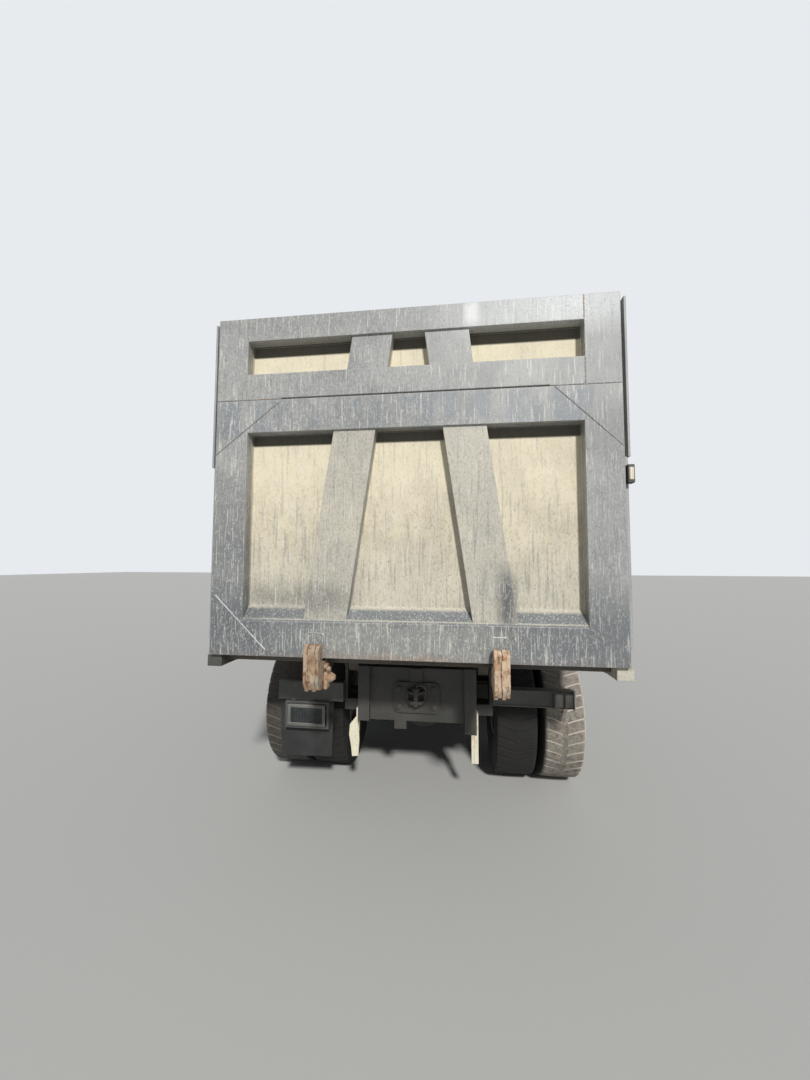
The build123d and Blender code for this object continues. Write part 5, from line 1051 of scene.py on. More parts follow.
def tyre_shape(centre):
    half = tyre_profile()
    rows = [(-x, radius, deep) for x, radius, deep in half] + [(x, radius, deep) for x, radius, deep in reversed(half)]
    points, faces = [], []
    pitch_angle = 2 * math.pi / tyre_pitches
    for pitch in range(tyre_pitches):
        for phase, depth in slot_steps:
            for x, radius, deep in rows:
                lean = 0.55 * max(0, 1 - abs(x) / 0.15) ** 1.3
                angle = (pitch + phase + lean) * pitch_angle
                size = radius - 0.0075 * depth * deep
                points.append(Vector((x, math.cos(angle) * size, math.sin(angle) * size)))
    wide = len(rows)
    around = tyre_pitches * len(slot_steps)
    for turn_step in range(around):
        after = (turn_step + 1) % around
        here, there = turn_step * wide, after * wide
        faces += [[here + n, here + n + 1, there + n + 1, there + n] for n in range(wide - 1)]
        faces.append([here + wide - 1, here, there, there + wide - 1])
    rings = []
    for ring_x, ring_radius in ((-0.1566, 0.415), (0.1566, 0.415), (-0.1522, 0.494), (0.1522, 0.494)):
        lift = 0.0016 if ring_x > 0 else -0.0016
        outline = [(ring_x - lift, ring_radius - 0.004), (ring_x, ring_radius - 0.002), (ring_x, ring_radius + 0.002),
                   (ring_x - lift, ring_radius + 0.004)]
        rings.append(turned(outline, (0, 0, 0), rightward, 60, closed=True))
    whole = joined([(points, faces)] + rings)
    centre = Vector(centre)
    return [point + centre for point in whole[0]], whole[1]


def tyre_finish():
    """Rubber with brown-grey, dusty blocks and pale dust down in the slots, told by the radius."""
    coats = Coats("tread_rubber", 0.88)
    tree = coats.tree
    axes = split(tree, coats.place)
    coats.colour = mix_colour(tree, coats.patches(6.0), (0.016, 0.015, 0.015), (0.032, 0.03, 0.028))
    # the axles' stations: how far a point is from the nearest one gives its radius
    radius = None
    for station in axle_stations:
        along, above = minus(tree, axes[1], station), minus(tree, axes[2], tyre_radius)
        length = math_node(tree, "SQRT", plus(tree, times(tree, along, along), times(tree, above, above)))
        radius = length if radius is None else math_node(tree, "MINIMUM", radius, length)
    across = math_node(tree, "ABSOLUTE", split(tree, coats.facing)[0])
    on_tread = times(tree, ramp(tree, radius, 0.515, 0.55), ramp(tree, across, 0.8, 0.45))
    in_slot = times(tree, on_tread, ramp(tree, radius, 0.5592, 0.5562))
    # the outer tyres carry dust, the left ones less as painted shade; the inner tyres are darkened to nearly black as
    # painted shade
    left_outer_shaded = times(tree, ramp(tree, axes[0], -0.945, -0.975), 0.35)
    outer_dust_and_shade = math_node(tree, "MAXIMUM", ramp(tree, axes[0], 0.945, 0.975), left_outer_shaded)
    share = plus(tree, times(tree, outer_dust_and_shade, 0.78), 0.03)
    dusty = times(tree, on_tread, coats.patches(26.0, 5.0, 0.75, 0.24, 0.6))
    coats.lay((0.31, 0.28, 0.24), dusty, share)
    coats.lay((0.6, 0.55, 0.47), in_slot, share)
    coat = times(tree, coats.dust(0.3, 5.0), plus(tree, outer_dust_and_shade, 0.08), True)
    # painted shade: the inner tyres darkened to nearly black
    coats.lay((0.004, 0.004, 0.004), minus(tree, 1.0, outer_dust_and_shade), 0.85)
    coats.lay((0.24, 0.21, 0.175), coat)
    grit = coats.grit(170.0, 0.5)
    coats.lay((0.42, 0.37, 0.3), grit["Pale"], times(tree, share, 0.5))
    return coats.finish(grit["Height"], 0.0014, 0.7)


def wheel_centre(node):
    low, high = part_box(node)
    return (low + high) / 2


rear_offset = 0.346 / 2
axle_stations = [wheel_centre(node).y for node in ("tyre_front_right", "tyres_first_right", "tyres_last_right")]
finishes["tread_rubber"] = tyre_finish()
treads = [(f"tyres_{axle}_{side}", f"tread_{axle}_{side}", f"twin_{axle}_{side}", (-rear_offset, rear_offset))
          for axle in ("first", "last") for side, _ in sides]
treads += [(f"tyre_front_{side}", f"tread_front_{side}", f"front_wheel_{side}", (0.0,)) for side, _ in sides]
for node_name, name, body, shifts in treads:
    shapes = [tyre_shape(wheel_centre(node_name) + Vector((shift, 0, 0))) for shift in shifts]
    tread = piece(name, joined(shapes), body, "tread_rubber", sharp=28.0)
    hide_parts(node_name)

# %% [markdown]
# More shape helpers: a tube round a closed loop, such as a window's rubber seal, and a loop with rounded corners, given
# in two dimensions.

# %% Loops
def loop_tube(points, radius, sides=8):
    points = [Vector(p) for p in points]
    middle = sum(points, Vector()) / len(points)
    made, rings = [], []
    for index, point in enumerate(points):
        ahead = (points[(index + 1) % len(points)] - points[index - 1]).normalized()
        out = (point - middle) - ahead * (point - middle).dot(ahead)
        side = out.normalized()
        other = ahead.cross(side)
        rings.append(list(range(len(made), len(made) + sides)))
        for step in range(sides):
            angle = 2 * math.pi * step / sides
            made.append(point + (side * math.cos(angle) + other * math.sin(angle)) * radius)
    faces = []
    for low, high in zip(rings, rings[1:] + rings[:1]):
        for step in range(sides):
            after = (step + 1) % sides
            faces.append([low[step], low[after], high[after], high[step]])
    return made, faces


def rounded(corners, radius, steps=5):
    """Corners in 2-D, each rounded: points of the outline."""
    outline = []
    count = len(corners)
    for index in range(count):
        here = Vector(corners[index])
        back = (Vector(corners[index - 1]) - here).normalized()
        on = (Vector(corners[(index + 1) % count]) - here).normalized()
        reach = radius / math.tan(math.acos(max(-1.0, min(1.0, back.dot(on)))) / 2)
        start, end = here + back * reach, here + on * reach
        for step in range(steps + 1):
            t = step / steps
            outline.append((1 - t) ** 2 * start + 2 * t * (1 - t) * here + t * t * end)
    return outline


def grid_of(count, low, high):
    return [low + (high - low) * n / (count - 1) for n in range(count)]


print("loop helpers ready")

# %% [markdown]
# Wheel fittings: ten nuts on studs hold each disc, a bolted cover closes the hub, a bead
# rings the rim's edge, and a valve stands between two nuts. The rear discs lie deep in the
# outer wheel and the front ones nearly flush, so each row of the table has its own places.

# %% Wheel nuts, covers, rims and valves
def wheel_fittings(centre, side, disc_x, hub_x, cover, rims, valve_radius):
    out = (side, 0, 0)
    parts = []
    for y, z in round_spots(10, 0.1675, 0.5):
        spot = (side * disc_x, centre.y + y, centre.z + z)
        parts.append(bolt(spot, out, 0.032, 0.022))
        parts.append(turned([(0.018, 0.011), (0.036, 0.011), (0.038, 0.008), (0.038, 0)], spot, out, 8))
    middle = (side * hub_x, centre.y, centre.z)
    parts.append(turned([(-0.004, cover), (0.007, cover), (0.009, cover * 0.96), (0.01, cover * 0.66),
                         (0.022, cover * 0.6), (0.027, cover * 0.42), (0.027, 0)], middle, out, 28))
    for y, z in round_spots(8, cover * 0.82):
        parts.append(bolt((side * (hub_x + 0.009), centre.y + y, centre.z + z), out, 0.016, 0.009, False))
    for rim_x, facing in rims:
        ring = [(-0.006, 0.2485), (-0.006, 0.264), (0, 0.2715), (0.0045, 0.273), (0.0055, 0.269),
                (0.001, 0.262), (0.001, 0.2485)]
        parts.append(turned(ring, (side * rim_x, centre.y, centre.z), (side * facing, 0, 0), 48, closed=True))
    start = (side * (disc_x + 0.004), centre.y, centre.z + valve_radius)
    parts.append(tube([start, (side * (disc_x + 0.03), centre.y, centre.z + valve_radius + 0.004),
                       (side * (disc_x + 0.052), centre.y, centre.z + valve_radius + 0.012)], [0.006, 0.004, 0.005], 8))
    return joined(parts)


# columns: name, node, body, side, disc's outer face, hub's end, cover's radius, rim edges (x, facing), valve's radius
twin_rims = ((1.2195, 1), (0.9665, -1), (0.8735, 1), (0.6205, -1))
front_rims = ((1.1445, 1), (0.8915, -1))
wheels = [(f"{axle}_{name}", f"wheels_{axle}_{name}", f"twin_{axle}_{name}", side, 0.936, 1.15, 0.104, twin_rims,
           0.208) for axle in ("first", "last") for name, side in sides]
wheels += [(f"front_{name}", f"wheel_front_{name}", f"front_wheel_{name}", side, 1.124, 1.178, 0.084, front_rims, 0.222)
           for name, side in sides]
for name, node_name, body, *places in wheels:
    piece(f"wheel_nuts_{name}", wheel_fittings(wheel_centre(node_name), *places), body, "wheel_paint")

# %% [markdown]
# Under the frame: a spring-brake chamber with its push rod stands at each rear axle's end,
# a clamp band goes round its middle, and hoses run up to the frame. Two air lines and a loom
# follow the left rail on clips, and domed rivets line both rails where the crossmembers
# meet them.

# %% Brake chambers and lines
def chamber(centre, direction):
    outline = [(0, 0), (0, 0.062), (0.012, 0.07), (0.048, 0.074), (0.05, 0.08), (0.06, 0.08),
               (0.062, 0.074), (0.1, 0.072), (0.104, 0.066), (0.15, 0.062), (0.162, 0.048), (0.162, 0)]
    return turned(outline, centre, direction, 20)


axle_z = tyre_radius
brakes = []
for axle in ("last", "first"):
    y = wheel_centre(f"wheels_{axle}_right").y
    for _, side in sides:
        x = side * 0.385
        brakes.append(chamber((x, y - 0.085, axle_z + 0.01), (0, -1, 0.05)))
        brakes.append(soft_box((x - 0.06, y - 0.086, axle_z - 0.07), (x + 0.06, y - 0.066, axle_z + 0.085), 0.004))
        brakes.append(tube([(x, y - 0.07, axle_z + 0.01), (x + side * 0.02, y + 0.075, axle_z - 0.05)], 0.008, 8))
        for port in (-0.03, 0.03):
            brakes.append(tube([(x + port, y - 0.17, axle_z + 0.078), (x + port, y - 0.18, axle_z + 0.13),
                                (x * 0.98 + port, y - 0.15, axle_z + 0.18), (x * 0.98, y - 0.11, axle_z + 0.25)],
                               0.008, 8))
piece("rear_brake_chambers", joined(brakes), "chassis", "chassis_paint")

rail_side = 0.425
lines = []
for drop, radius in ((0, 0.008), (0.024, 0.006), (0.044, 0.01)):
    stretch = [(-rail_side - 0.014, y, 0.992 - drop + 0.002 * math.sin(3.1 * y)) for y in grid_of(22, -1.9, 1.7)]
    lines.append(tube(stretch, radius, 8))
for y in grid_of(9, -1.8, 1.6):
    lines.append(soft_box((-rail_side - 0.026, y - 0.012, 0.93), (-rail_side + 0.001, y + 0.012, 1.006), 0.003))
piece("frame_air_lines", joined(lines), "chassis", "black_plastic")

rivet_outline = [(0, 0), (0, 0.0115), (0.004, 0.01), (0.0075, 0.0055), (0.0085, 0)]
rivets = []
for y in grid_of(40, -3.18, 3.84):
    for z in (0.772, 0.9):
        rivets.append(turned(rivet_outline, (rail_side - 0.0005, y, z), rightward, 8))
piece("rail_rivets", both_sides(joined(rivets)), "chassis", "chassis_paint")

# %% [markdown]
# The row beside the frame: the fuel tank gets a knurled cap, a level sender with two pipes,
# a drain plug, seams where its ends are rolled on, and strap bolts. The air tanks get bands,
# fittings and drain cocks, the battery box gets rubber latches and a lid handle, and the
# silencer gets clamp bands, end seams and a rolled pipe end.

# %% Tank fittings
tank_low, tank_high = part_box("fuel_tank")
tank_top = tank_low.z + 0.55
cap_spot = (1.03, tank_high.y - 0.09, tank_high.z - 0.004)
knurl = []
for x, y in round_spots(16, 0.051):
    spot = Vector((cap_spot[0] + x, cap_spot[1] + y, cap_spot[2]))
    knurl.append(soft_box(spot + Vector((-0.005, -0.005, 0.001)), spot + Vector((0.005, 0.005, 0.017)), 0.002))
cap = turned([(0, 0), (0, 0.052), (0.016, 0.052), (0.021, 0.046), (0.022, 0.02), (0.028, 0.018), (0.028, 0)],
             cap_spot, upward, 24)
piece("tank_cap", joined([cap] + knurl), "chassis", "black_plastic")
sender_y = tank_low.y + 0.62
fittings = [turned([(0, 0), (0, 0.045), (0.006, 0.045), (0.006, 0.022), (0.016, 0.02), (0.016, 0)],
                   (0.76, sender_y, tank_top - 0.001), upward, 20)]
for x, y in round_spots(6, 0.036):
    fittings.append(bolt((0.76 + x, sender_y + y, tank_top + 0.005), upward, 0.009, 0.005, False))
fittings.append(turned([(0, 0), (0, 0.018), (0.01, 0.018), (0.012, 0.01), (0.012, 0)],
                       (0.85, sender_y, tank_low.z + 0.001), downward, 12))
for shift in (-0.012, 0.012):
    pipe = [(0.76, 0.62, tank_top + 0.012), (0.745, 0.62, tank_top + 0.03), (0.68, 0.625, tank_top + 0.022),
            (0.6, 0.63, tank_top + 0.004), (0.5, 0.63, tank_top - 0.09), (rail_side + 0.004, 0.63, 0.96)]
    fittings.append(tube([(x, tank_low.y + y + shift, z) for x, y, z in pipe], 0.005, 6))
middle_x = (tank_low.x + tank_high.x) / 2
for seam_y in (tank_low.y + 0.022, tank_high.y - 0.022):
    ends = rounded([(middle_x - 0.28, tank_low.z + 0.001), (middle_x + 0.28, tank_low.z + 0.001),
                    (middle_x + 0.28, tank_top), (middle_x - 0.28, tank_top)], 0.095, 8)
    fittings.append(loop_tube([(x, seam_y, z) for x, z in ends], 0.004, 6))
for strap_y in (tank_low.y + 0.07, tank_high.y - 0.1):
    for x in (0.64, 0.7):
        fittings.append(bolt((x, strap_y, tank_top + 0.003), upward, 0.016, 0.01))
piece("tank_fittings", joined(fittings), "chassis", "tank_metal")

# %% Air tank, battery box and silencer fittings
air_low, air_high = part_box("air_tanks")
air_z = 0.645
air_parts = []
band_outline = [(-0.018, 0.1245), (-0.018, 0.1275), (0.018, 0.1275), (0.018, 0.1245)]
port_outline = [(0, 0), (0, 0.014), (0.012, 0.014), (0.013, 0.008), (0.024, 0.008), (0.024, 0)]
for x in (-0.7, -0.97):
    for y in (air_low.y + 0.11, air_high.y - 0.11):
        air_parts.append(turned(band_outline, (x, y, air_z), ahead, 36, closed=True))
        air_parts.append(bolt((x, y, air_z + 0.127), upward, 0.014, 0.012))
    air_parts.append(turned([(0, 0), (0, 0.012), (0.014, 0.01), (0.022, 0.005), (0.022, 0)],
                            (x, (air_low.y + air_high.y) / 2, 0.521), downward, 10))
    for lift in (-0.035, 0.04):
        air_parts.append(turned(port_outline, (x, air_high.y - 0.0005, air_z + lift), ahead, 6))
    air_parts.append(tube([(x, air_high.y + 0.02, 0.685), (x + 0.01, air_high.y + 0.04, 0.715),
                           (x + 0.05, air_high.y + 0.044, 0.8), (-0.52, air_high.y + 0.03, 0.9),
                           (-rail_side - 0.004, air_high.y + 0.01, 0.955)], 0.006, 7))
piece("air_tank_fittings", joined(air_parts), "chassis", "black_plastic")

box_low, box_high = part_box("battery_box")
latches = []
for y in (box_low.y + 0.1, box_high.y - 0.1):
    latches.append(soft_box((box_low.x - 0.008, y - 0.022, 0.742), (box_low.x + 0.011, y + 0.022, 0.872), 0.005, 2))
    latches.append(soft_box((box_low.x - 0.014, y - 0.028, 0.756), (box_low.x + 0.011, y + 0.028, 0.78), 0.004, 2))
handle = [(box_low.y + 0.17, -0.001), (box_low.y + 0.18, 0.026), (box_high.y - 0.18, 0.026),
          (box_high.y - 0.17, -0.001)]
latches.append(tube([(box_low.x + 0.14, y, box_high.z + rise) for y, rise in handle], 0.007, 8))
for number in range(5):
    z = 0.57 + 0.036 * number
    latches.append(soft_box((box_low.x + 0.006, box_low.y + 0.12, z),
                            (box_low.x + 0.0115, box_high.y - 0.12, z + 0.012), 0.002))
piece("battery_box_fittings", joined(latches), "chassis", "flap_rubber")

can_low, can_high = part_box("silencer")
can_x, can_z = -0.82, (can_low.z + can_high.z) / 2
can_parts = []
for y in (can_low.y + 0.17, can_high.y - 0.09):
    can_parts.append(turned([(-0.02, 0.209), (-0.02, 0.2135), (0.02, 0.2135), (0.02, 0.209)],
                            (can_x, y, can_z), ahead, 44, closed=True))
    can_parts.append(soft_box((-1.048, y - 0.018, can_z + 0.02),
                              (-1.028, y + 0.018, can_z + 0.07), 0.003))
    can_parts.append(bolt((-1.046, y, can_z + 0.045), (-1, 0, 0), 0.016, 0.01))
for y in (can_low.y + 0.081, can_high.y - 0.001):
    can_parts.append(turned([(-0.004, 0.205), (-0.004, 0.2125), (0.004, 0.2125), (0.004, 0.205)],
                            (can_x, y, can_z), ahead, 44, closed=True))
pipe_end = (can_x, can_low.y, can_z)
can_parts.append(turned([(-0.001, 0.047), (0.006, 0.047), (0.008, 0.052), (0.006, 0.0575), (-0.01, 0.0565),
                         (-0.01, 0.05)], pipe_end, rearward, 28, closed=True))
piece("silencer_bands", joined(can_parts), "chassis", "silencer_metal")
soot = turned([(0, 0), (0, 0.047), (0.0016, 0.046), (0.0018, 0)], pipe_end, rearward, 24)
piece("tail_pipe_soot", soot, "chassis", "soot")

# %% [markdown]
# The tipping body outside: weld beads run down beside the posts and along both rails, rope
# hooks line the lower rail, and each gate pin ends in a washer, a castle nut and a split pin.

# %% Body welds, rope hooks and pin ends
body_rear, body_front = -3.9615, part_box("bed_side_right")[1].y
body_beads = []
for y, toward in ((body_rear + 0.42, 1), (body_front - 0.22, -1)):
    y += toward * 0.002
    body_beads.append(bead((1.236, y, 1.44), (1.236, y, 3.206), rightward, 0.011, 0.005, 0.02))
for z in (1.4345, 3.2115):
    body_beads.append(bead((1.2365, body_rear + 0.43, z), (1.2365, body_front - 0.23, z), rightward, 0.01, 0.004, 0.03))
for z in (1.304, 3.342):
    ends = (1.2505, body_rear + 0.02, z), (1.2505, body_front - 0.01, z)
    body_beads.append(bead(*ends, rightward, 0.007, 0.003, 0.03))
for name, shape in (("right", joined(body_beads)), ("left", mirrored(joined(body_beads)))):
    piece(f"bed_beads_{name}", shape, "bed", "old_weld")

hooks = []
hook_line = ((1.248, 1.392), (1.262, 1.388), (1.27, 1.374), (1.27, 1.35), (1.266, 1.336))
for y in grid_of(10, body_rear + 0.62, body_front - 0.42):
    hooks.append(tube([(x, y, z) for x, z in hook_line], 0.006, 8))
    hooks.append(soft_box((1.2495, y - 0.016, 1.376), (1.253, y + 0.016, 1.404), 0.0015))
piece("rope_hooks", both_sides(joined(hooks)), "bed", "body_paint")

pivot_y, pivot_z = gate_y + 0.2, gate_top - 0.04
pin_ends = [turned([(0, 0), (0, 0.04), (0.006, 0.04), (0.006, 0)], (1.2205, pivot_y, pivot_z), rightward, 24),
            bolt((1.2265, pivot_y, pivot_z), rightward, 0.046, 0.02, False),
            tube([(1.239, pivot_y, pivot_z - 0.034), (1.239, pivot_y, pivot_z + 0.03)], 0.003, 6)]
piece("gate_pin_ends", both_sides(joined(pin_ends)), "gate", "brown_steel")

print("gate pins at y", round(pivot_y, 3), "and z", round(pivot_z, 3))

# %% [markdown]
# The hoist: each stage has a wiper ring where it enters the next, the cover has a bolted cap
# and rings round it, and its oil pipe bends down at the foot.

# %% Hoist fittings
cover_low, cover_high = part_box("hoist_cover")
hoist_y = sum(corner.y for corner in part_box("hoist_foot")) / 2
hoist_parts = [turned([(0, 0), (0, 0.106), (0.012, 0.106), (0.016, 0.098), (0.016, 0)],
                      (0, hoist_y, cover_high.z - 0.001), upward, 32)]
for x, y in round_spots(8, 0.088, 0.5):
    hoist_parts.append(bolt((x, hoist_y + y, cover_high.z + 0.014), upward, 0.018, 0.01))
for z, radius in ((cover_low.z + 0.004, 0.13), (cover_low.z + 0.154, 0.13), (1.9, 0.116), (2.45, 0.116)):
    ring = [(-0.006, radius - 0.006), (-0.004, radius), (0.004, radius), (0.006, radius - 0.006)]
    hoist_parts.append(turned(ring, (0, hoist_y, z), upward, 36, closed=True))
hoist_parts.append(tube([(0.06, hoist_y + 0.1, cover_low.z + 0.06), (0.075, hoist_y + 0.145, cover_low.z + 0.05),
                         (0.078, hoist_y + 0.155, cover_low.z + 0.02)], 0.016, 12))
piece("hoist_cover_fittings", joined(hoist_parts), "hoist_cover", "hoist_paint")
for stage, radius in (("hoist_stage_lower", 0.0785), ("hoist_stage_upper", 0.0965)):
    ring = turned([(-0.001, radius - 0.01), (-0.003, radius + 0.004), (0.01, radius + 0.004), (0.012, radius - 0.001),
                   (0.01, radius - 0.01)], (0, hoist_y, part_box(stage)[0].z), upward, 32, closed=True)
    piece(f"{stage}_wiper", ring, stage, "hoist_paint")

# %% [markdown]
# The cab's outer form is upright up to its waist and leans in above it, so a helper gives the surface's place at any
# height: y of the front, or x of a side, with a distance to stand proud. The rubber seals, wipers and door handles are
# placed with it.

# %% Cab surfaces
cab_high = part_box("cab_front")[1]
cab_front_y, cab_half = cab_high.y, cab_high.x
waist_z = 2.0


def front_point(x, z, proud=0.0):
    lean = max(0, z - waist_z) * 0.275
    return Vector((x, cab_front_y - lean + proud * 0.964, z + (proud * 0.265 if z > waist_z else 0.0)))


def side_point(side, y, z, proud=0.0):
    lean = max(0, z - waist_z) * 0.0625
    return Vector((side * (cab_half - lean + proud), y, z))


def back_point(x, z, proud=0.0):
    lean = max(0, z - waist_z) * 0.0455
    return Vector((x, 2.1335 + lean - proud, z))


screen = rounded([(-0.98, 2.01), (0.98, 2.01), (0.98, 2.76), (-0.98, 2.76)], 0.045, 5)
back_window = rounded([(-0.62, 2.1), (0.62, 2.1), (0.62, 2.56), (-0.62, 2.56)], 0.045, 5)
seals = [loop_tube([front_point(x, z, 0.001) for x, z in screen], 0.013),
         loop_tube([back_point(x, z, 0.001) for x, z in back_window], 0.012)]
piece("window_seals", joined(seals), "cab", "seal_rubber")

# %% [markdown]
# Cab front: strips stand proud between the grille's slots, with a fine mesh and a closed board
# behind them. Two wipers park along the foot of the screen, small amber lamps line the brow, and a
# turn lamp sits in each front corner. The middle panel stays bare: it carries no badge.

# %% Cab front fittings
slot_z = [1.25 + 0.088 * n for n in range(6)]
mesh_bars = [soft_box((x - 0.0018, cab_front_y - 0.046, 1.225), (x + 0.0018, cab_front_y - 0.0424, 1.76), 0)
             for x in grid_of(64, -0.77, 0.77)]
mesh_bars += [soft_box((-0.77, cab_front_y - 0.048, low_z + rise - 0.0016),
                       (0.77, cab_front_y - 0.044, low_z + rise + 0.0016), 0)
              for low_z in slot_z for rise in (0.01, 0.023, 0.036)]
piece("grille_mesh", joined(mesh_bars), "cab", "black_plastic")
piece("grille_backing", soft_box((-0.79, cab_front_y - 0.056, 1.212), (0.79, cab_front_y - 0.048, 1.79), 0.002),
      "cab", "black_plastic")
strips = [soft_box((-0.772, cab_front_y - 0.004, low_z + 0.05), (0.772, cab_front_y + 0.014, low_z + 0.084), 0.007, 3)
          for low_z in slot_z[:-1]]
for low_x, low_z, high_x, high_z in ((-0.8, 1.205, 0.8, 1.238), (-0.8, 1.744, 0.8, 1.78),
                                     (-0.8, 1.205, -0.774, 1.78), (0.774, 1.205, 0.8, 1.78)):
    strips.append(soft_box((low_x, cab_front_y - 0.004, low_z), (high_x, cab_front_y + 0.012, high_z), 0.007, 3))
piece("grille_strips", joined(strips), "cab", "trim_grey")

wipers = []
for pivot_x in (-0.78, 0.06):
    foot = front_point(pivot_x, 1.96, 0.012)
    knee = front_point(pivot_x + 0.2, 2.045, 0.034)
    tip = front_point(pivot_x + 0.44, 2.12, 0.028)
    wipers.append(turned([(-0.012, 0), (-0.012, 0.02), (0.012, 0.018), (0.018, 0.01), (0.018, 0)], foot, ahead, 16))
    elbow = foot.lerp(knee, 0.5) + Vector((0, 0.012, 0.006))
    wipers.append(tube([foot, elbow, knee, tip], [0.009, 0.007, 0.006, 0.005], 8))
    along = grid_of(9, -1.0, 1.0)
    blade = [front_point(pivot_x + 0.44 + t * 0.34, 2.12 + t * 0.06, 0.012) for t in along]
    spine = [front_point(pivot_x + 0.44 + t * 0.26, 2.12 + t * 0.046, 0.026 - 0.01 * t * t) for t in along]
    wipers += [tube(blade, 0.005, 6), tube(spine, 0.0045, 6)]
piece("wipers", joined(wipers), "cab", "seal_rubber")

brow = []
for x in (-0.8, -0.16, 0.0, 0.16, 0.8):
    spot = Vector((x, 3.8, 2.94))
    brow.append(soft_box(spot - Vector((0.036, 0.045, 0.02)), spot + Vector((0.036, 0.045, 0.024)), 0.012, 3))
piece("brow_lamps", joined(brow), "cab", "amber_lens")
corner_lamps = [soft_box((1.03, cab_front_y - 0.06, 1.56), (1.158, cab_front_y - 0.004, 1.74), 0.018, 4)]
piece("corner_lamps", both_sides(joined(corner_lamps)), "cab", "amber_lens")

# %% [markdown]
# Bumper: two round reflectors and an amber lamp stand in each pocket, a blank plate lies in
# the middle recess, and two round fog lamps flank the lower slot. Tread plates with raised
# studs lie in the step wells.

# %% Headlamps, plate and steps
nose_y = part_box("bumper")[1].y
bowls, glass_rims, ambers = [], [], []
lamp_y = nose_y - 0.014
for _, side in sides:
    for x in (0.842, 0.966):
        spot = (side * x, lamp_y, 0.795)
        bowls.append(turned([(0.001, 0), (0.0012, 0.02), (0.004, 0.04), (0.0105, 0.053), (0.0105, 0.0545),
                             (0, 0.0545)], spot, ahead, 32))
        bowls.append(turned([(0, 0.013), (0.006, 0.012), (0.01, 0.007), (0.0115, 0)], spot, ahead, 16))
        glass_rims.append(turned([(0, 0.055), (0, 0.062), (0.009, 0.061), (0.0125, 0.057), (0.011, 0.0545)],
                                 spot, ahead, 32, closed=True))
    x = side * 1.075
    ambers.append(soft_box((x - 0.032, lamp_y - 0.002, 0.735), (x + 0.032, lamp_y + 0.011, 0.855), 0.005, 3))
piece("lamp_bowls", joined(bowls), "chassis", "reflector")
piece("lamp_rims", joined(glass_rims), "chassis", "trim_grey")
piece("front_turn_lamps", joined(ambers), "chassis", "amber_lens")
fog, fog_glass = [], []
for _, side in sides:
    spot = (side * 0.64, nose_y - 0.001, 0.648)
    fog.append(turned([(-0.002, 0.046), (-0.002, 0.06), (0.007, 0.058), (0.01, 0.052), (0.006, 0.046)],
                      spot, ahead, 28, closed=True))
    fog_glass.append(turned([(0.001, 0), (0.005, 0), (0.004, 0.03), (0.001, 0.0465), (-0.004, 0.0465),
                             (-0.004, 0)], spot, ahead, 28))
piece("fog_lamp_rims", joined(fog), "chassis", "trim_grey")
piece("fog_lamp_lenses", joined(fog_glass), "chassis", "clear_lens")
plate = [soft_box((-0.225, nose_y - 0.026, 0.786), (0.225, nose_y - 0.0215, 0.894), 0.001)]
screw = [(0, 0), (0, 0.008), (0.003, 0.006), (0.003, 0)]
plate += [turned(screw, (x, nose_y - 0.0215, 0.876), ahead, 12) for x in (-0.185, 0.185)]
piece("blank_front_plate", joined(plate), "chassis", "blank_plate")
steps = []
for step_z in (0.6, 0.85):
    steps.append(soft_box((0.936, 3.392, step_z - 0.001), (1.16, 3.912, step_z + 0.004), 0.001))
    steps += [turned([(0, 0.011), (0.004, 0.008), (0.0045, 0)], (x, y, step_z + 0.0038), upward, 8)
              for x in grid_of(5, 0.962, 1.134) for y in grid_of(12, 3.42, 3.884)]
piece("step_treads", both_sides(joined(steps)), "chassis", "tank_metal")
slot_mesh = [soft_box((x - 0.002, nose_y - 0.064, 0.628), (x + 0.002, nose_y - 0.06, 0.702), 0)
             for x in grid_of(34, -0.378, 0.378)]
slot_mesh += [soft_box((-0.382, nose_y - 0.064, z - 0.002), (0.382, nose_y - 0.06, z + 0.002), 0)
              for z in (0.645, 0.665, 0.685)]
eye_line = ((0.055, 0.69), (0.012, 0.682), (0.004, 0.665), (0.012, 0.648), (0.055, 0.64))
slot_mesh += [tube([(x, nose_y - back, z) for back, z in eye_line], 0.009, 10) for x in (-0.3, 0.3)]
piece("bumper_slot_mesh", joined(slot_mesh), "chassis", "black_plastic")

# %% [markdown]
# Doors: a seal runs round each window, a pull handle sits in a shallow plate near the rear
# edge, and inside there are a trim panel, an arm rest, a winder and a latch lever. They ride
# on the doors. Grab handles stand behind the doors, and gutters run along the roof.

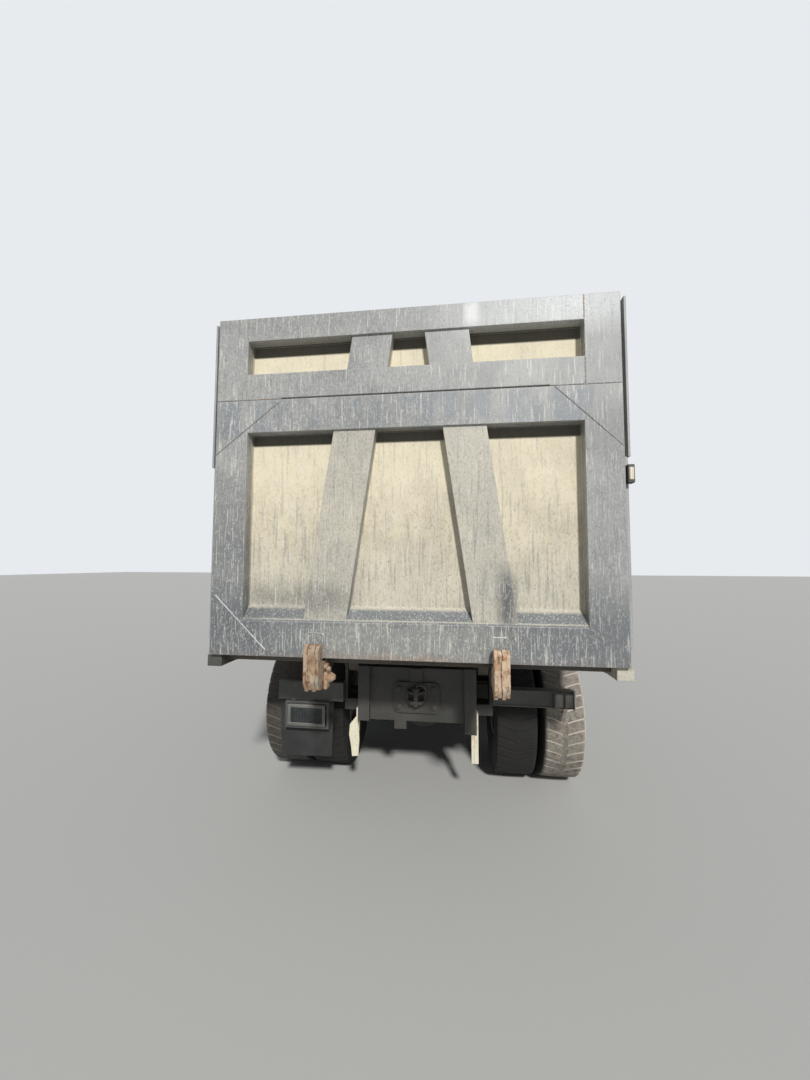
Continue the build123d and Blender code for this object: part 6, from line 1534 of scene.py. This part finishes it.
# %% Door fittings
door_low_corner, door_high_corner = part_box("door_right")
window = rounded([(2.7835, 2.06), (3.6935, 2.06), (3.5635, 2.71), (2.7835, 2.71)], 0.045, 5)
pull_line = ((0.014, 0.001), (0.02, 0.022), (0.04, 0.028), (0.135, 0.028), (0.155, 0.022), (0.161, 0.001))
handle_y = door_low_corner.y + 0.055
for side_name, side in sides:
    body = f"door_{side_name}"
    seal = loop_tube([side_point(side, y, z, -0.003) for y, z in window], 0.011)
    piece(f"door_seal_{side_name}", seal, body, "seal_rubber")
    x0, x1 = sorted((side * (cab_half - 0.001), side * (cab_half + 0.003)))
    pull = [soft_box((x0, handle_y, 1.835), (x1, handle_y + 0.175, 1.905), 0.0015),
            tube([side_point(side, handle_y + y, 1.87, proud) for y, proud in pull_line], 0.009, 10),
            turned([(0, 0), (0, 0.011), (0.004, 0.01), (0.004, 0)], side_point(side, handle_y + 0.1, 1.8),
                   (side, 0, 0), 16)]
    piece(f"door_handle_{side_name}", joined(pull), body, "trim_grey")
    inner = side * (cab_half - 0.05)

    def on_trim(near, far, low, high, soft, steps=1):
        """A box between two distances from the door's inner face; low and high are (y, z)."""
        x0, x1 = sorted((inner - side * near, inner - side * far))
        return soft_box((x0, *low), (x1, *high), soft, steps)

    hub = (inner - side * 0.007, 3.46, 1.79)
    trim = [on_trim(0, 0.007, (door_low_corner.y + 0.035, 1.345), (door_high_corner.y - 0.045, 1.985), 0.003),
            on_trim(0.006, 0.058, (3.02, 1.69), (3.38, 1.735), 0.014, 3),
            on_trim(0.006, 0.04, (2.98, 1.37), (3.58, 1.5), 0.01, 2),
            turned([(0, 0), (0, 0.022), (0.012, 0.018), (0.016, 0)], hub, (-side, 0, 0), 16),
            tube([(hub[0] - side * 0.012, 3.46, 1.79), (hub[0] - side * 0.024, 3.42, 1.73)], 0.006, 8),
            turned([(0, 0), (0, 0.01), (0.03, 0.012), (0.034, 0)], (hub[0] - side * 0.02, 3.42, 1.73),
                   (-side, 0, 0), 12),
            on_trim(0.006, 0.022, (2.84, 1.83), (2.95, 1.852), 0.006, 2)]
    piece(f"door_trim_{side_name}", joined(trim), body, "black_plastic")

low_z, high_z = 1.46, 2.02
grabs = [tube([side_point(1, 2.6, low_z, 0), side_point(1, 2.6, low_z + 0.012, 0.034),
               side_point(1, 2.6, low_z + 0.05, 0.046), (cab_half + 0.046, 2.6, high_z - 0.05),
               (cab_half + 0.034, 2.6, high_z - 0.012), side_point(1, 2.6, high_z, 0)], 0.011, 10)]
grabs += [soft_box((cab_half - 0.003, 2.578, z - 0.024), (cab_half + 0.005, 2.622, z + 0.024), 0.002)
          for z in (low_z, high_z)]
gutter = [Vector((cab_half - 0.0625 * 0.812 + 0.004, y, 2.812)) for y in grid_of(12, 2.36, 3.72)]
grabs.append(tube(gutter, 0.007, 8))
piece("cab_grabs_and_gutters", both_sides(joined(grabs)), "cab", "trim_grey")

# %% [markdown]
# Mirrors: the housings are solid in the frame, so each gets its glass on the face that looks
# back, inside a thin lip. The cab's back wall gets an air intake with slats.

# %% Mirror glass and air intake
mirror_low, mirror_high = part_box("mirrors")
mirror_back = mirror_low.y + 0.0005
glass, lips = [], []
for low_z, high_z in ((1.95, 2.4), (1.7, 1.9)):
    x0, x1 = mirror_high.x - 0.17, mirror_high.x
    glass.append(soft_box((x0 + 0.012, mirror_back - 0.002, low_z + 0.012),
                          (x1 - 0.012, mirror_back + 0.001, high_z - 0.012), 0.001))
    low_x, high_x, low_z, high_z = x0 + 0.006, x1 - 0.006, low_z + 0.006, high_z - 0.006
    outline = rounded([(low_x, low_z), (high_x, low_z), (high_x, high_z), (low_x, high_z)], 0.02, 4)
    lips.append(loop_tube([(x, mirror_back - 0.001, z) for x, z in outline], 0.006, 6))
piece("mirror_glass", both_sides(joined(glass)), "cab", "mirror_glass")
piece("mirror_lips", both_sides(joined(lips)), "cab", "black_plastic")
intake = [soft_box((0.7, 2.086, 1.9), (0.96, 2.134, 2.62), 0.012, 3)]
for z in grid_of(14, 1.96, 2.56):
    intake.append(soft_box((0.722, 2.078, z - 0.008), (0.938, 2.09, z + 0.008), 0.004, 1))
piece("air_intake", joined(intake), "cab", "black_plastic")

# %% [markdown]
# Inside the cab: an instrument pod with four round gauges in front of the driver, a middle
# console with knobs, vents and a blank panel, pedals below, and a gear lever with its
# gathered boot on the engine tunnel. Rubber mats lie on the floor.

# %% Dashboard and controls
dash = [soft_box((-0.985, 3.722, 1.9), (-0.535, 3.86, 2.092), 0.022, 3)]
dash.append(soft_box((-1.0, 3.7, 2.072), (-0.52, 3.86, 2.1), 0.012, 3))
dash.append(soft_box((-0.33, 3.665, 1.7), (0.33, 3.8, 1.99), 0.018, 3))
for x in (-1.04, 0.48, 1.04):
    for n in range(4):
        y, z = 3.69 + 0.0105 * n, 1.85 + 0.03 * n
        dash.append(soft_box((x - 0.055, y, z), (x + 0.055, 3.715 + 0.0105 * n, 1.858 + 0.03 * n), 0.002))
knob = [(0, 0), (0, 0.02), (0.014, 0.018), (0.016, 0.012), (0.016, 0)]
dash += [turned(knob, (x, 3.666, 1.77), rearward, 18) for x in (-0.2, -0.07, 0.06, 0.19)]
dash.append(soft_box((-0.16, 3.658, 1.86), (0.16, 3.67, 1.95), 0.005, 2))
boot = [(0, 0), (0, 0.085)]
for n in range(5):
    boot += [(0.012 + 0.026 * n, 0.078 - 0.012 * n), (0.02 + 0.026 * n, 0.064 - 0.011 * n)]
boot += [(0.15, 0.014), (0.15, 0)]
dash.append(turned(boot, (-0.28, 3.12, 1.519), upward, 20))
dash.append(tube([(-0.28, 3.12, 1.65), (-0.29, 3.105, 1.8), (-0.315, 3.075, 1.93)], 0.009, 10))
dash.append(turned([(-0.028, 0), (-0.026, 0.014), (-0.012, 0.026), (0.006, 0.029), (0.022, 0.02), (0.03, 0)],
                   (-0.318, 3.07, 1.95), (-0.15, -0.2, 1.0), 18))
dash.append(soft_box((-0.405, 2.72, 1.519), (-0.355, 2.96, 1.56), 0.01, 2))
dash.append(tube([(-0.38, 2.92, 1.55), (-0.38, 2.8, 1.64), (-0.38, 2.72, 1.68)], 0.012, 10))
for x, high in ((-0.94, 1.46), (-0.79, 1.46), (-0.64, 1.43)):
    dash.append(soft_box((x - 0.036, 3.8, high - 0.045), (x + 0.036, 3.816, high + 0.045), 0.006, 2))
    dash.append(tube([(x, 3.815, high), (x, 3.88, high + 0.1), (x, 3.9, high + 0.26)], 0.008, 8))
for _, side in sides:
    low_x, high_x = sorted((side * 0.452, side * 1.095))
    dash.append(soft_box((low_x, 2.3, 1.3048), (high_x, 3.95, 1.3105), 0.002))
    for x in grid_of(12, low_x + 0.05, high_x - 0.05):
        dash.append(soft_box((x - 0.012, 2.34, 1.31), (x + 0.012, 3.92, 1.3135), 0.001))
piece("cab_controls", joined(dash), "cab", "black_plastic")
dials, dial_rims = [], []
for x, z, radius in ((-0.85, 1.985, 0.048), (-0.69, 1.985, 0.048), (-0.77, 2.03, 0.026), (-0.77, 1.955, 0.026)):
    spot = (x, 3.722, z)
    dials.append(turned([(0.0005, radius), (0.002, radius), (0.002, 0)], spot, rearward, 28))
    dial_rims.append(turned([(0, radius), (0, radius + 0.005), (0.006, radius + 0.004), (0.006, radius)],
                            spot, rearward, 28, closed=True))
    needle = Vector((-0.6, 0.0, 0.8)) * radius * 0.8
    dial_rims.append(tube([(x, 3.7185, z), (x + needle.x, 3.7185, z + needle.z)], 0.0012, 5))
piece("dial_faces", joined(dials), "cab", "dial_face")
piece("dial_rims", joined(dial_rims), "cab", "trim_grey")

# %% [markdown]
# Seats: the frame's plain blocks give way to real ones. A moulded base with a slide and side
# hinges carries two cushions, which are padded fabric: a slightly smaller block is remeshed
# fine, blown up by the cloth solver, held within 20 mm of where it began, and smoothed once.
# The welts come after that, as cords sewn round the front face of each pad: a rounded loop
# whose points are moved onto the nearest spot of the blown mesh.

# %% Bases and hinges of the seats
seat_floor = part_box("seats")[0].z
bases = []
slide_line = ((0.21, 3.05), (0.21, 3.12), (0.16, 3.125))
for x in (-0.76, 0.76):
    bases.append(soft_box((x - 0.17, 2.7, seat_floor + 0.0005), (x + 0.17, 3.03, seat_floor + 0.15), 0.012, 2))
    bases.append(soft_box((x - 0.225, 2.65, seat_floor + 0.15), (x + 0.225, 3.11, seat_floor + 0.205), 0.02, 3))
    for _, side in sides:
        slide_x, hinge_x = x + side * 0.19, x + side * 0.232
        bases.append(soft_box((slide_x - 0.012, 2.66, seat_floor + 0.12),
                              (slide_x + 0.012, 3.08, seat_floor + 0.152), 0.004))
        bases.append(turned([(0, 0), (0, 0.036), (0.01, 0.034), (0.014, 0.02), (0.014, 0)],
                            (hinge_x, 2.655, seat_floor + 0.285), (side, 0, 0), 20))
        bases.append(soft_box((hinge_x - 0.005, 2.62, seat_floor + 0.19),
                              (hinge_x + 0.005, 2.69, seat_floor + 0.42), 0.004))
    bases.append(tube([(x + reach, y, seat_floor + 0.165) for reach, y in slide_line], 0.007, 8))
seat_frames = piece("seat_frames", joined(bases), "cab", "black_plastic")
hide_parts("seats")


# %% Cushions of the seats
def pad_block(middle, size, tilt):
    """A block with rounded edges, tilted about X and moved to its middle, ready to be blown up."""
    half = Vector(size) / 2
    points, faces = soft_box(-half, half, 0.03, 3)
    turn_x = Matrix.Rotation(tilt, 3, "X")
    return [turn_x @ point + Vector(middle) for point in points], faces


def blown_up(thing, voxel, swell, reach):
    """Remesh, inflate with cloth for 20 frames, cap the travel and apply."""
    bpy.context.view_layer.objects.active = thing
    remesh = thing.modifiers.new("fine", "REMESH")
    remesh.mode = "VOXEL"
    remesh.voxel_size = voxel
    bpy.context.view_layer.update()
    fine = bpy.data.meshes.new_from_object(thing.evaluated_get(bpy.context.evaluated_depsgraph_get()))
    thing.modifiers.clear()
    thing.data = fine
    start = np.empty(len(fine.vertices) * 3)
    fine.vertices.foreach_get("co", start)
    start = start.reshape(-1, 3)
    cloth = thing.modifiers.new("air", "CLOTH")
    settings = cloth.settings
    settings.use_pressure, settings.uniform_pressure_force = True, swell
    settings.tension_stiffness = settings.compression_stiffness = 30
    settings.bending_stiffness, settings.quality = 1.5, 5
    settings.effector_weights.gravity = 0
    cloth.point_cache.frame_start, cloth.point_cache.frame_end = 1, 20
    for frame_number in range(1, 21):
        scene.frame_set(frame_number)
    blown = bpy.data.meshes.new_from_object(thing.evaluated_get(bpy.context.evaluated_depsgraph_get()))
    end = np.empty(len(blown.vertices) * 3)
    blown.vertices.foreach_get("co", end)
    moved = end.reshape(-1, 3) - start
    length = np.linalg.norm(moved, axis=1, keepdims=True)
    capped = start + moved * np.minimum(1.0, reach / np.maximum(length, 1e-9))
    blown.vertices.foreach_set("co", capped.ravel())
    thing.modifiers.clear()
    thing.data = blown
    scene.frame_set(1)


pads, welts = [], []
lean_back = math.radians(5.6)
for side_name, x in (("left", -0.76), ("right", 0.76)):
    pads.append((f"cushion_{side_name}", (x, 2.895, seat_floor + 0.268), (0.455, 0.44, 0.096), 0))
    pads.append((f"backrest_{side_name}", (x, 2.604, seat_floor + 0.6), (0.44, 0.082, 0.66), lean_back))
    pads.append((f"headrest_{side_name}", (x, 2.578, seat_floor + 0.945), (0.25, 0.066, 0.09), lean_back))
for name, middle, size, tilt in pads:
    pad = piece(name, pad_block(middle, size, tilt), "cab", "seat_fabric")
    blown_up(pad, 0.01 if not name.startswith("headrest") else 0.008, 4.0, 0.02)
    smooth = pad.modifiers.new("smooth", "SUBSURF")
    smooth.levels = smooth.render_levels = 1
    pad.data = bpy.data.meshes.new_from_object(pad.evaluated_get(bpy.context.evaluated_depsgraph_get()))
    pad.modifiers.clear()
    for face in pad.data.polygons:
        face.use_smooth = True
    if not pad.data.materials:
        pad.data.materials.append(finishes["seat_fabric"])
    flat = name.startswith("cushion")
    wide, high = size[0] / 2 - 0.006, (size[1] if flat else size[2]) / 2 - 0.006
    outline = rounded([(-wide, -high), (wide, -high), (wide, high), (-wide, high)], 0.045, 8)
    dense = []
    for n, point in enumerate(outline):
        after = outline[(n + 1) % len(outline)]
        stitches = max(1, int((after - point).length / 0.018))
        dense += [point.lerp(after, step / stitches) for step in range(stitches)]
    face_side = size[2] / 2 - 0.012 if flat else size[1] / 2 - 0.012
    turn_x = Matrix.Rotation(tilt, 3, "X")
    sewn = []
    for point in dense:
        spot = Vector((point.x, point.y, face_side)) if flat else Vector((point.x, face_side, point.y))
        sewn.append(pad.closest_point_on_mesh(turn_x @ spot + Vector(middle))[1])
    welts.append(loop_tube(sewn, 0.0042, 8))
    print(name, len(pad.data.polygons), "faces")
piece("seat_welts", joined(welts), "cab", "seal_rubber")
